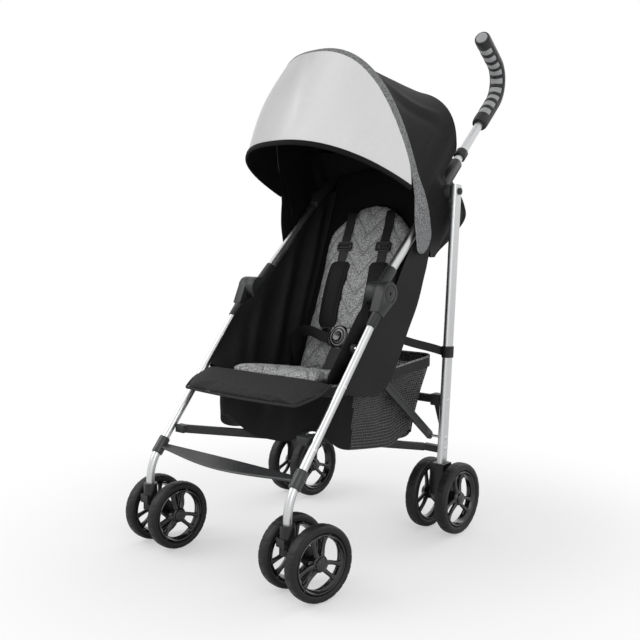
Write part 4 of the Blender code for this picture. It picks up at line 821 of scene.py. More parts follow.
def woven(name, dark, light, roughness, thread, mottle, depth=0.00012, **constants):
    """A cloth: threads that cross at even steps, and yarn that varies from dark to light. Cloth
    without a light gets its colours later."""
    made = Finish(name, light or dark, roughness, **constants)
    made.in_space, made.place = made.place, made.node("ShaderNodeTexCoord", {}, output="UV")
    parts = made.tree.nodes.new("ShaderNodeSeparateXYZ")
    made.tree.links.new(made.place.socket, parts.inputs[0])
    made.across, made.along = (Number(made, parts.outputs[k]) for k in (0, 1))
    pitch = 2 * math.pi / thread
    weave = (made.across * pitch).sine() * (made.along * pitch).sine() * 0.5 + 0.5
    yarn = made.noise(mottle, 3.0)
    if light:
        made.tint(made.ramp(yarn, 0.34, 0.66), dark, light)
    made.feed("Roughness", roughness - 0.06 + yarn * 0.12)
    made.relief(weave * 0.6 + made.noise(mottle * 0.5, 2.0) * 0.4, depth)
    return made


silver = woven("silver_satin", (0.625, 0.620, 0.625), None, 0.42, 0.0007, 70.0, 0.00003,
               sheen_weight=0.15, sheen_roughness=0.4)
night = woven("black_cloth", (0.0046, 0.0046, 0.0054), (0.0085, 0.0085, 0.0097), 0.75, 0.0009,
              260.0, 0.0001, specular_ior_level=0.12)
# the satin's colour is painted darker in a soft band down its middle, where it turns from the
# light: painted shade, mixed with a little random mottle
SHADE_BAND_MIDDLE, SHADE_BAND_HALF = 0.29, 0.11
painted_shade_band = silver.ramp(abs(silver.across - SHADE_BAND_MIDDLE), 0.02, SHADE_BAND_HALF)
silver.tint(painted_shade_band * 0.85 + silver.noise(90.0) * 0.15, (0.455, 0.445, 0.450),
            (0.745, 0.738, 0.745))
VISOR_GRID = (71, 141)
# creases of the satin: start and stop as (across, up), width, height
VISOR_FOLDS = [((-0.03, 0.95), (0.03, 0.04), 0.070, -0.0048),
               ((0.09, 0.92), (0.15, 0.10), 0.060, 0.0030),
               ((0.405, 0.95), (0.412, 0.80), 0.012, -0.0022),
               ((0.55, 0.02), (0.67, 0.86), 0.022, 0.0024),
               ((0.50, 0.03), (0.60, 0.62), 0.018, -0.0020),
               ((0.60, 0.03), (0.76, 0.72), 0.020, 0.0020),
               ((0.46, 0.05), (0.50, 0.46), 0.020, 0.0016),
               ((-0.45, 0.95), (-0.38, 0.20), 0.050, -0.0025)]
head = bow_line(0.80, VISOR_GRID[1], -0.0030) + np.array([0.0, *(toward(BOW_ANGLE + 90) * 0.0085)])
brow = arch(CANOPY_HALF - 0.004, BOW_FOOT + toward(VISOR_ANGLE) * -0.02,
            BOW_FOOT + toward(VISOR_ANGLE) * VISOR_REACH, 2.44, 0.93, VISOR_GRID[1])
u, s = np.meshgrid(np.linspace(-1, 1, VISOR_GRID[1]), np.linspace(1, 0, VISOR_GRID[0]))
visor_points = brow + (head - brow) * s[..., None]
swell = 0.013 * np.sin(np.pi * s) * (1 - u * u)
visor_points[..., 1] -= 0.9 * swell
visor_points[..., 2] += 0.4 * swell
loose = np.sin(np.pi * s) ** 0.6
gathers = 0.0014 * np.exp(-(1 - s) * 7) * np.sin(u * 43 + 2.1 * np.sin(u * 9)) * (1 - u ** 6)
gathers *= smooth(1 - s, 0.0, 0.10)
waves = 0.0018 * loose * np.sin(u * 15 + 1.2 * np.sin(u * 5) + 1.4 * s)
wrinkles = gathers + waves
for start, stop, width, height in VISOR_FOLDS:
    wrinkles += height * fold(u, s, start, stop, width)
visor_points = raised(visor_points, wrinkles)
panel = cloth("visor_satin", visor_points, silver, None, ["visor"], 0.0012, night)
brow_way = visor_points[-8] - visor_points[-1]
binding = band("visor_binding", visor_points[-1] + brow_way * 0.02, brow_way,
               oval(0.0105, 0.0046, 20, 3.0), night, None)
for fabric in (panel, binding):
    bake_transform(fabric)


# The canopy's trim: a padded heather band sewn over the middle bow. Each end widens into a
# round wing with a seam, and turns on a peg in the upper tube's clip.
def listed(items, what):
    """One 3-D property of all of a mesh's vertices or faces."""
    values = np.empty(len(items) * 3)
    items.foreach_get(what, values)
    return values.reshape(-1, 3)


TRIM_HALF, WING_HALF = 0.0105, 0.029
TRIM_THICK = 0.0052
ARC_COUNT, TAIL_COUNT = 241, 24
ARCH_MIDDLE, SEAM_Y = 0.66, 0.0452
CANOPY_PIVOT = side(-0.055, 0.650)
heather = woven("heather_trim", (0.270, 0.274, 0.278), None, 0.85, 0.0011, 330.0, 0.0003,
                specular_ior_level=0.15)
heather.tint(heather.ramp(heather.noise(400.0, 4.0, heather.in_space), 0.34, 0.66),
             (0.085, 0.087, 0.089), (0.330, 0.335, 0.340))
arc_line = bow_line(1.0, ARC_COUNT, -0.0015)
tail = np.linspace(0, 1, TAIL_COUNT + 1)[1:] * np.pi * 0.485
base = np.vstack([np.repeat(arc_line[:1], TAIL_COUNT, 0), arc_line,
                  np.repeat(arc_line[-1:], TAIL_COUNT, 0)])
beyond = np.concatenate([tail[::-1], np.zeros(ARC_COUNT), tail])
grow = smooth(BOW_FOOT[1] + 0.045 - base[:, 2], 0.0, 0.105)
half = (TRIM_HALF + (WING_HALF - TRIM_HALF) * grow) * np.cos(beyond)
centre_line = base - np.stack([0 * beyond, 0 * beyond, WING_HALF * np.sin(beyond)], -1)
across_way = np.array([0.0, *BOW_BACK])
heading = np.gradient(centre_line, axis=0)
outward = np.cross(heading, across_way)
outward /= np.linalg.norm(outward, axis=1, keepdims=True)
outward *= np.sign((outward * (centre_line - put(0.0, BOW_FOOT))).sum(1, keepdims=True))
outward[np.abs(centre_line[:, 0]) > 0.16, 1:] *= 0.2
section = oval(2.0, 1.0, 72, 3.0)
thick = TRIM_THICK * (1 - 0.25 * grow) * np.cos(beyond) ** 0.35
grid = (centre_line[:, None] + across_way * (section[:, :1] * half[:, None, None])
        + outward[:, None] * (section[:, 1:] * thick[:, None, None]))
seam_y = grid[..., 1] - (SEAM_Y + 0.03 * (grid[..., 2] - ARCH_MIDDLE))
seam = np.exp(-(seam_y / 0.0013) ** 2) * smooth(grid[..., 2], 0.618, 0.640) * (
    1 - smooth(grid[..., 2], 0.700, 0.735)) * (section[:, 1] > 0)
grid -= outward[:, None] * (0.0016 * seam)[..., None]
wide_trim = piece("canopy_trim", [skin(grid)], heather, "canopy_bow", ["canopy_bow"],
                  second=night)
trim_mesh = wide_trim.data
# the cloth's plan: round the arch, by the angle about its middle, and across the band
spot = listed(trim_mesh.vertices, "co")
turn_about = np.arctan2(spot[:, 2] - ARCH_MIDDLE, spot[:, 0])
flat = np.stack([turn_about * 0.25, (spot[:, 1:] - BOW_FOOT) @ BOW_BACK], -1)
planned(trim_mesh, flat)
# the faces that look at the bow's foot are the black lining
to_foot = listed(trim_mesh.polygons, "center") - put(0.0, BOW_FOOT)
inward = (listed(trim_mesh.polygons, "normal") * to_foot).sum(1) < 0
trim_mesh.polygons.foreach_set("material_index", inward.astype(int))
for which, sign in SIDES.items():
    peg = np.array([(0.0079, 0.0), (0.0079, 0.0075), (0.0070, 0.0084), (1e-5, 0.0086), (1e-5, 0.0)])
    peg[:, 1] *= sign
    piece("canopy_peg_" + which, [skin(turned(peg, (sign * (UPPER_X + UPPER_R + 0.0002),
          *CANOPY_PIVOT), 40), wrap_rows=True)], black, "canopy_bow")


# The hood: one black cloth from the trim over the rear bow and down behind the head. It sags
# between the bows and pulls tight over each.
HOOD_SPAN, HOOD_COUNT = 0.97, 161
OVER = 0.6  # share of the hood's rows that lies over the bows, before it drops behind
hood_front = bow_line(HOOD_SPAN, HOOD_COUNT, 0.0042) + across_way * 0.003
hood_rear = arch(CANOPY_HALF - 0.0032, side(0.070, 0.803), side(0.089, 0.959), 2.5, HOOD_SPAN,
                 HOOD_COUNT)
lower = smooth(np.abs(hood_rear[:, :1]), 0.120, 0.150) * 0.030 + 0.780
hood_low = np.hstack([hood_rear[:, :1] * 0.985, hood_rear[:, 1:2] - 0.004, lower])
rows = np.concatenate([np.linspace(0, OVER, 61), np.linspace(OVER, 1, 31)[1:]])[:, None, None]
over = hood_front + (hood_rear - hood_front) * np.clip(rows / OVER, 0, 1)
hood = over + (hood_low - hood_rear) * np.clip((rows - OVER) / (1 - OVER), 0, 1)
u = np.broadcast_to(np.linspace(-1, 1, HOOD_COUNT), hood.shape[:2])
s = np.broadcast_to(rows[..., 0], hood.shape[:2])
span = np.sin(np.pi * np.clip(s / OVER, 0, 1))
hood[..., 2] -= 0.0015 * span * (1 - u * u)
ridge = 0.0022 * span ** 0.5 * np.sin(u * 23 + 2.2 * s + 1.3 * np.sin(u * 7))
ridge += 0.0030 * fold(u, s, (0.30, 0.05), (0.66, 0.52), 0.03) * span ** 0.3
ridge -= 0.0026 * fold(u, s, (0.38, 0.04), (0.76, 0.50), 0.03)
ridge += 0.0020 * smooth(s, OVER, 0.75) * np.sin(u * 31 + 1.0)
black_hood = woven("hood_cloth", (0.0080, 0.0077, 0.0084), (0.0125, 0.0121, 0.0130), 0.66, 0.0008,
                   200.0, 0.0001, specular_ior_level=0.12)
canopy = cloth("canopy_hood", raised(hood, -ridge)[::-1], black_hood, None, ["canopy_shell"],
               0.0014, night)
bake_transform(canopy)


# The apron: the hood's cloth goes on down past the tubes as a loose pouch behind the head, with a
# cheek on each side. Its half width, front and back are given at a few heights.
APRON_HEIGHTS = (0.830, 0.806, 0.757, 0.715, 0.673, 0.630, 0.585)
APRON_HALF = (0.1775, 0.1780, 0.1840, 0.1870, 0.1880, 0.1760, 0.1500)
APRON_FRONT = (-0.004, 0.006, 0.026, 0.044, 0.052, 0.062, 0.120)
APRON_BACK = (0.1830, 0.1900, 0.2190, 0.2500, 0.2660, 0.2240, 0.1660)


def eased(knots, values, places):
    """Values between knots, rounded off by the mean of nearby places."""
    spread = np.linspace(-0.5, 0.5, 9)[:, None] * np.abs(np.diff(knots)).min()
    return np.interp(places[None] + spread, knots, values).mean(0)


APRON_BESIDE_TUBE = 0.1772
APRON_ROWS, SIDE_COLUMNS = 71, 17
fall = np.linspace(0, 1, APRON_ROWS)[:, None]
drop = np.linspace(APRON_HEIGHTS[0], APRON_HEIGHTS[-1], APRON_ROWS)
knots = np.array(APRON_HEIGHTS)[::-1]
wide, near, rear = (eased(knots, np.array(values)[::-1], drop)[:, None]
                    for values in (APRON_HALF, APRON_FRONT, APRON_BACK))
way = np.linspace(0, np.pi, 181)[None]
# each level is a half super-ellipse, squarer lower down, that tucks under the trim at its front
square = 0.32 + 0.23 * smooth(drop, 0.68, 0.80)[:, None]
around_y = near + (rear - near) * np.abs(np.sin(way)) ** square
beside_tube = 1 - smooth(around_y, 0.075, 0.150)
tucked = 0.0145 * ((drop[:, None] - 0.740) / 0.090).clip(0, 1) ** 1.3 * (
    1 - smooth(around_y, 0.03, 0.13))
around_x = (wide - (wide - APRON_BESIDE_TUBE) * beside_tube - tucked) * blunt(np.cos(way), square)
apron = np.stack([around_x, around_y, np.broadcast_to(drop[:, None], around_x.shape)], -1)
creased = 0.0035 * np.sin(np.pi * fall) * smooth(around_y, 0.090, 0.150) * (
    np.sin(way * 11 + 2 * fall) + 0.6 * np.sin(way * 23 - fall))
apron = raised(apron, creased)
pouch = cloth("canopy_apron", apron[:, SIDE_COLUMNS - 1:1 - SIDE_COLUMNS], black_hood, None, (),
              0.0013, night)
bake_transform(pouch)
for which, strip in (("left", apron[:, :SIDE_COLUMNS]), ("right", apron[:, -SIDE_COLUMNS:])):
    cheek = cloth("canopy_cheek_" + which, strip, black_hood, None, (), 0.0013,
                  night)
    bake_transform(cheek)


# The sling: one black cloth that makes the back panel and both sides. The sides are sewn to the
# tubes, and hang in long folds beside the back.
BIGHT, SEAT_EDGE = side(-0.100, 0.318), side(-0.325, 0.352)
BACK_TILT = 70.0
SLING_FOLD, SLING_EDGE = 0.1334, 0.1519
AT_HINGE, AT_BIGHT = 0.45, 0.5  # shares of the sides' length


def laid(across, up, out, spot, tilt):
    """Points of a flat piece (across, up, and out of its face) stood at a spot of the side view
    and turned up by tilt degrees."""
    c, s = math.cos(math.radians(tilt)), math.sin(math.radians(tilt))
    across, up, out = np.broadcast_arrays(across, up, out)
    return np.stack([across, spot[0] + up * c - out * s, spot[1] + up * s + out * c], -1)


u, v = np.meshgrid(np.linspace(-1, 1, 61), np.linspace(0, 1, 91))
head_share = np.clip((2 * v - 1.3) / 0.7, 0, 1)
back_sheet = laid((0.1345 + 0.010 * head_share) * u, 0.495 * v - 0.006 * u * u * head_share,
                  -0.0006 - 0.0012 * np.exp(-((np.abs(u) - 0.93) / 0.03) ** 2), BIGHT, BACK_TILT)
sling_back = cloth("sling_back", back_sheet[::-1], night, "backrest", ["back_panel"],
                   0.0020)

sling = woven("sling_cloth", (0.0070, 0.0070, 0.0080), (0.0120, 0.0120, 0.0134), 0.60, 0.0009,
              210.0, 0.0001, specular_ior_level=0.18)
TUBE_LOW, TUBE_HIGH = HINGE + FRONT_DIR * 0.205, HINGE + UPPER_DIR * 0.300
LEG_BACK = toward(FRONT_ANGLE - 270)
SUNK = np.array([0.0, -0.0014])
BACK_TOP = BIGHT + toward(BACK_TILT) * 0.440
# folds of the sides: distance in front of the back, width, depth, lean
SLING_FOLDS = [(0.020, 0.010, 0.0065, 0.02), (0.046, 0.011, -0.0030, 0.03),
               (0.070, 0.012, 0.0070, 0.05), (0.104, 0.016, -0.0030, 0.04),
               (0.136, 0.014, 0.0062, 0.06), (0.176, 0.020, 0.0040, 0.02)]


def mirrored(grid, sign):
    """A left grid put on either side, its columns turned round on the right to face outward."""
    return grid if sign > 0 else grid[:, ::-1] * (-1, 1, 1)


def sling_side(first, last, columns):
    """Part of a left side of the sling, from first to last of its length. A point lies between
    the tubes' line and the seat's line; the cloth comes out by a sine, and folds run along the
    back as Gaussians of the distance in front of it."""
    s, t = np.meshgrid(np.linspace(first, last, columns), np.linspace(0, 1, 71))
    low = (s / AT_HINGE)[..., None].clip(0, 1)
    high = ((s - AT_HINGE) / (1 - AT_HINGE))[..., None].clip(0, 1)
    rim_line = TUBE_LOW + (HINGE - TUBE_LOW) * low + (TUBE_HIGH - HINGE) * high
    by_leg = smooth(0.43 - s, 0.0, 0.14)
    rim_line = rim_line - LEG_BACK * (0.019 * by_leg)[..., None]
    seat = (s / AT_BIGHT)[..., None].clip(0, 1)
    rest = ((s - AT_BIGHT) / (1 - AT_BIGHT))[..., None].clip(0, 1)
    foot = SEAT_EDGE + (BIGHT - SEAT_EDGE) * seat + (BACK_TOP - BIGHT) * rest + SUNK
    under = np.clip((AT_BIGHT - s) / 0.06, 0, 1)
    turn_in = 1 - (t / 0.2).clip(0, 1)
    rise = ((t - 0.2) / 0.8).clip(0, 1)
    flat = foot + (rim_line - foot) * rise[..., None]
    flat[..., 1] += 0.012 * (1 - under) * (1 - turn_in) * (1 - rise)
    edge = SLING_EDGE + 0.010 * by_leg
    out = SLING_FOLD + (edge - SLING_FOLD) * np.sin(rise * np.pi / 2) ** 0.8
    out -= 0.030 * under * turn_in
    ahead = (flat - BIGHT) @ -toward(BACK_TILT - 90)
    up_back = (flat - BIGHT) @ toward(BACK_TILT)
    hang_free = np.sin(np.pi * rise) ** 0.7
    folds = np.zeros_like(ahead)
    for place, width, depth, lean in SLING_FOLDS:
        folds += depth * np.exp(-((ahead - place - lean * up_back) / width) ** 2)
    out = out - folds * hang_free + 0.0012 * hang_free * np.sin(up_back * 41 + ahead * 27)
    return np.concatenate([out[..., None], flat], -1)


LEG_SIDE = "front_frame", (0, *(HINGE + FRONT_DIR * 0.02)), (0, *(HINGE + FRONT_DIR * 0.20))
BACK_SIDE = ("backrest", (0, *(BIGHT - toward(-20) * 0.085)),
             (0, *(BIGHT - toward(-20) * 0.012)))
for which, sign in SIDES.items():
    for part, first, last, columns, flat, area, (other, start, end) in (
            ("seat", 0.0, AT_HINGE, 61, (0.15, 0.26), 0.028, LEG_SIDE),
            ("back", AT_HINGE, 1.0, 75, (0.26, 0.33), 0.050, BACK_SIDE)):
        grid = mirrored(sling_side(first, last, columns), sign)
        hanging = cloth("sling_%s_%s" % (part, which), grid, sling, None,
                        ["side_panel_" + which], 0.0013)
        "tube_upper_" + which
        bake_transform(hanging)


# The skirts: the sling's outer cloth, sewn to the tube and the front leg. It hangs outside the
# folding links and hides their upper ends.
SKIRT_X = 0.1784
TUBE_BACK = toward(UPPER_ANGLE - 90)
# the sewn edge: how far along tube or leg from the hinge, and how far behind it
SKIRT_FRONT = [HINGE + UPPER_DIR * reach + TUBE_BACK * behind
               for reach, behind in ((0.215, 0.007), (0.090, 0.012), (0.0, 0.031))]
SKIRT_FRONT += [HINGE + FRONT_DIR * reach + LEG_BACK * behind
                for reach, behind in ((0.092, 0.010), (0.150, 0.004), (0.206, 0.002))]
# the free edge: points of the side view
SKIRT_BACK = [(0.096, 0.606), (0.070, 0.553), (0.023, 0.459), (-0.045, 0.355), (-0.081, 0.322),
              (-0.144, 0.323), (-0.198, 0.336)]


def through(knots, count=60):
    """A smooth line through knots: a Catmull-Rom curve, taken again at equal distances."""
    knots = np.asarray(knots, float)
    ends = np.vstack([2 * knots[0] - knots[1], knots, 2 * knots[-1] - knots[-2]])
    way = np.linspace(0, 1, 24, endpoint=False)[None, :, None]
    p0, p1, p2, p3 = (ends[k:len(ends) - 3 + k, None] for k in range(4))
    curve = 0.5 * (2 * p1 + (p2 - p0) * way + (2 * p0 - 5 * p1 + 4 * p2 - p3) * way ** 2
                   + (3 * p1 - p0 - 3 * p2 + p3) * way ** 3)
    return even(np.vstack([curve.reshape(-1, 3), knots[-1:]]), count)


skirt_near, skirt_far = through(put(0.0, SKIRT_FRONT), 81), through(put(0.0, SKIRT_BACK), 81)
t, s = np.linspace(0, 1, 41)[:, None], np.linspace(0, 1, 81)
skirt = skirt_near + (skirt_far - skirt_near) * t[..., None]
free = np.sin(np.pi * t / 2) * np.sin(np.pi * s) ** 0.5
skirt[..., 0] = SKIRT_X - 0.0075 * smooth(skirt[..., 2], 0.555, 0.630)
skirt[..., 0] += 0.0016 * free + 0.0014 * free * np.sin(19 * s + 3 * t)
for which, sign in SIDES.items():
    hanging = cloth("sling_skirt_" + which, mirrored(skirt, sign), sling, None, (),
                    0.0010)
    "tube_upper_" + which
    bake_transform(hanging)


# The padded seat: wadding quilted between two cloths, heather in front, in zigzag channels that
# meet on the middle line. One pad covers the back and one the seat.
SEAT_HALF, PAD_BACK, PAD_SEAT = 0.125, 0.0200, 0.0180
QUILT_STEP, QUILT_HALF, QUILT_SLOPE = 0.047, 0.061, 1.15
PRESSURE, STIFFNESS, CLOTH_STEPS, VOXEL = 4.0, 25.0, 20, 0.005


def stuffed(name, vertices, faces, most):
    """The points of a pad blown up as cloth: a copy is remeshed, swollen by pressure without
    gravity, held to a most travel, and subdivided once."""
    start = bpy.data.meshes.new(name + "_start")
    start.from_pydata(vertices.tolist(), [], faces.tolist())
    shape = bpy.data.objects.new(name + "_start", start)
    scene.collection.objects.link(shape)
    grid = shape.modifiers.new("grid", "REMESH")
    grid.mode, grid.voxel_size = "VOXEL", VOXEL

    def settled():
        """The shape's mesh with its modifiers applied."""
        bpy.context.view_layer.update()
        graph = bpy.context.evaluated_depsgraph_get()
        return bpy.data.meshes.new_from_object(shape.evaluated_get(graph))

    even_mesh = settled()
    shape.modifiers.clear()
    shape.data = even_mesh
    before = listed(even_mesh.vertices, "co")
    blown = shape.modifiers.new("cloth", "CLOTH")
    blown.settings.use_pressure = True
    blown.settings.uniform_pressure_force = PRESSURE
    blown.settings.effector_weights.gravity = 0.0
    blown.settings.tension_stiffness = blown.settings.compression_stiffness = STIFFNESS
    blown.point_cache.frame_end = CLOTH_STEPS
    for step in range(1, CLOTH_STEPS + 1):
        scene.frame_set(step)
    after = listed(settled().vertices, "co")
    scene.frame_set(1)
    shape.modifiers.clear()
    travel = after - before
    size = np.linalg.norm(travel, axis=1, keepdims=True)
    even_mesh.vertices.foreach_set(
        "co", (before + travel * np.minimum(1, most / np.maximum(size, 1e-9))).ravel())
    even_mesh.update()
    finer = shape.modifiers.new("finer", "SUBSURF")
    finer.levels = finer.render_levels = 1
    fine = settled()
    bpy.data.objects.remove(shape, do_unlink=True)
    return listed(fine.vertices, "co"), corners_of(fine).reshape(-1, 4)


def crown(u, v, edge_height, height, sharp=4):
    """Thickness of a pad: from its edge up to its middle by the powers of both ways."""
    return edge_height + (height - edge_height) * (1 - np.abs(u) ** sharp) * (
        1 - np.abs(v) ** sharp)


def quilt_phase(across, up):
    """Which channel a place is in: rows at even steps up the pad, swung by a zigzag across."""
    swing = QUILT_HALF - np.abs(np.abs(across) - QUILT_HALF)
    return (up - QUILT_SLOPE * swing) / QUILT_STEP


def pad(name, outline, columns, rows, edge_height, height, spot, tilt, finish, body, stands_for,
        most=0.006, channels=None, sharp=4):
    """A pad that lies flat on its back: its outline drawn in a little, swollen, then sewn."""
    u, v = np.meshgrid(np.linspace(-1, 1, columns), np.linspace(-1, 1, rows))
    across, up = outline(u, v)
    middle = up.mean()
    grow = most * 0.5
    across = across * (1 - grow / np.abs(across).max())
    up = middle + (up - middle) * (1 - grow / np.abs(up - middle).max())
    top = np.stack([across, up, crown(u, v, edge_height, height - grow, sharp)], -1)
    vertices, faces = walled(top, top * (1, 1, 0) + (0, 0, 0.0004))
    local, faces = stuffed(name, vertices, faces, most)
    local[:, 2] = np.maximum(local[:, 2], 0.0003)
    if channels:
        local[:, 2] += channels(local[:, 0], local[:, 1]) * smooth(local[:, 2], 0.3 * height,
                                                                   0.8 * height)
    points = laid(local[:, 0], local[:, 1], local[:, 2], spot, tilt)
    made = built(name, points, faces, local[:, :2].copy(), finish, body, stands_for,
                 crease=70.0)
    return made


def sewn_channels(across, up):
    """Valleys along the quilting lines, round between them."""
    swell = np.abs(np.sin(np.pi * quilt_phase(across, up))) ** 0.55
    return 0.0042 * (swell - 1) + 0.0008 * np.sin(across * 71 + 2 * np.sin(up * 23))


quilt = woven("heather_quilt", (0.640, 0.644, 0.650), None, 0.86, 0.0012, 300.0, 0.00040,
              specular_ior_level=0.15)
swing = QUILT_HALF - abs(abs(quilt.across) - QUILT_HALF)
channel = (quilt.along - swing * QUILT_SLOPE) * (1 / QUILT_STEP)
near_line = channel.maths("PINGPONG", channel, 0.5) * (QUILT_STEP * 0.65)
yarn = quilt.ramp(quilt.noise(360.0, 4.0, quilt.in_space), 0.34, 0.66)
# the yarn's light share is cut to 0.3 on each quilting line and comes back about 3 mm from it:
# painted shade in the sewn valleys
quilt.tint(yarn * (quilt.ramp(near_line, 0.0004, 0.0030) * 0.70 + 0.30),
           (0.175, 0.177, 0.180), (0.600, 0.604, 0.610))


def back_outline(u, v):
    """Straight sides drawn in a little, and a broad round head."""
    head = np.clip((v - 0.40) / 0.60, 0, None)
    across = 0.1262 * u * (1 - 0.24 * head ** 3) * (1 - 0.03 * np.sin(np.pi * (v + 1) / 2))
    return across, 0.2065 * (v + 1) - 0.046 * head * u * u


seat_run = SEAT_EDGE - BIGHT
SEAT_LENGTH = np.linalg.norm(seat_run) - 0.018
SEAT_SPOT = BIGHT + seat_run / np.linalg.norm(seat_run) * 0.018
SEAT_TILT = math.degrees(math.atan2(-seat_run[1], -seat_run[0]))


def seat_outline(u, v):
    """Sides drawn in a little, from the bight to the front edge."""
    return SEAT_HALF * 0.98 * u * (1 - 0.03 * (1 - v * v)), -SEAT_LENGTH / 2 * (v + 1)


pad("backrest_liner", back_outline, 61, 101, 0.0100, PAD_BACK, BIGHT, BACK_TILT, quilt, "backrest",
    ["backrest_pad"], 0.006, sewn_channels)
seat_pad = pad("seat_liner", seat_outline, 61, 61, 0.0100, PAD_SEAT, SEAT_SPOT, SEAT_TILT, quilt,
               "upper_frame", ["seat_cushion"], 0.006, sewn_channels)
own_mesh(seat_pad)


# The calf flap: charcoal cloth over foam, hung from the seat's front edge, with a piped edge
# and its lower corners cut off.
FLAP_SPOT, FLAP_DROP, FLAP_LENGTH = side(-0.3258, 0.3522), 20.0, 0.094
FLAP_HALF, FLAP_CUT = 0.168, 0.016


def flap_outline(u, v):
    """Sides that swell a little, the lower corners cut off, and a lower edge that bows down."""
    down = (v + 1) / 2
    cut_off = FLAP_CUT * np.clip((down - 0.55) / 0.45, 0, 1)
    half_width = FLAP_HALF + 0.005 * np.sin(np.pi * down) - cut_off
    return half_width * u, -FLAP_LENGTH * down * (1 + 0.06 * (1 - u * u))


charcoal_cloth = woven("charcoal_cloth", (0.0250, 0.0243, 0.0250), (0.0370, 0.0360, 0.0370), 0.70,
                       0.0009, 240.0, 0.00012, specular_ior_level=0.12)
pad("calf_flap_pad", flap_outline, 61, 25, 0.0070, 0.0150, FLAP_SPOT, FLAP_DROP, charcoal_cloth,
    "front_frame", ["calf_flap"], 0.005, None, 6)
u = np.concatenate([np.full(24, -1.0), np.linspace(-1, 1, 90), np.full(24, 1.0)])
v = np.concatenate([np.linspace(-0.96, 0.98, 24), np.full(90, 1.0), np.linspace(0.98, -0.96, 24)])
across, up = flap_outline(u * 0.976, 0.94 * v)
line = np.stack([across, up, np.full(len(u), 0.0042)], -1)
kernel = np.ones(5) / 5
line[2:-2] = np.stack([np.convolve(line[:, k], kernel, "valid") for k in range(3)], -1)
piping = swept(laid(line[:, 0], line[:, 1], line[:, 2], FLAP_SPOT, FLAP_DROP),
               oval(0.0050, 0.0050, 14), up=(0.02, 0.5, 0.86))
piece("calf_flap_piping", [skin(piping)], charcoal_cloth, "front_frame")


# The harness: webbing from two slots of the back, with ladder locks and padded covers, joined
# to the waist and crotch webbing at the buckle. It lies on the quilted pad.
WEBBING, WEB_THICK = 0.024, 0.0016
STRAP_X = 0.054
LOCK_HALF, LOCK_UP = 0.0185, (0.291, 0.309)
COVER_HALF, COVER_MIDDLE, COVER_REACH = 0.0265, 0.186, 0.078
LIFT = PAD_BACK + 0.0012

web = woven("webbing", (0.0050, 0.0050, 0.0054), (0.0105, 0.0105, 0.0112), 0.55, 0.0016, 300.0,
            0.0002, specular_ior_level=0.25)


def webbed(name, knots, ways, width=WEBBING, count=60):
    """Webbing along a line, its width along ways, which go evenly from the first to the last."""
    line = through(knots, count)
    ways = np.atleast_2d(ways)
    share = np.linspace(0, 1, count)
    way = np.stack([np.interp(share, np.linspace(0, 1, len(ways)), ways[:, k]) for k in range(3)],
                   -1)
    strap = band(name, line, way, oval(width, WEB_THICK, 20, 6.0), web, "backrest")
    return strap


def on_back(knots):
    """Points given as across, up and out of the back."""
    across, up, out = np.array(knots, float).T
    return laid(across, up, out, BIGHT, BACK_TILT)


def back_way(ways):
    """Directions given as across, up and out of the back."""
    return on_back(ways) - on_back([(0.0, 0.0, 0.0)])


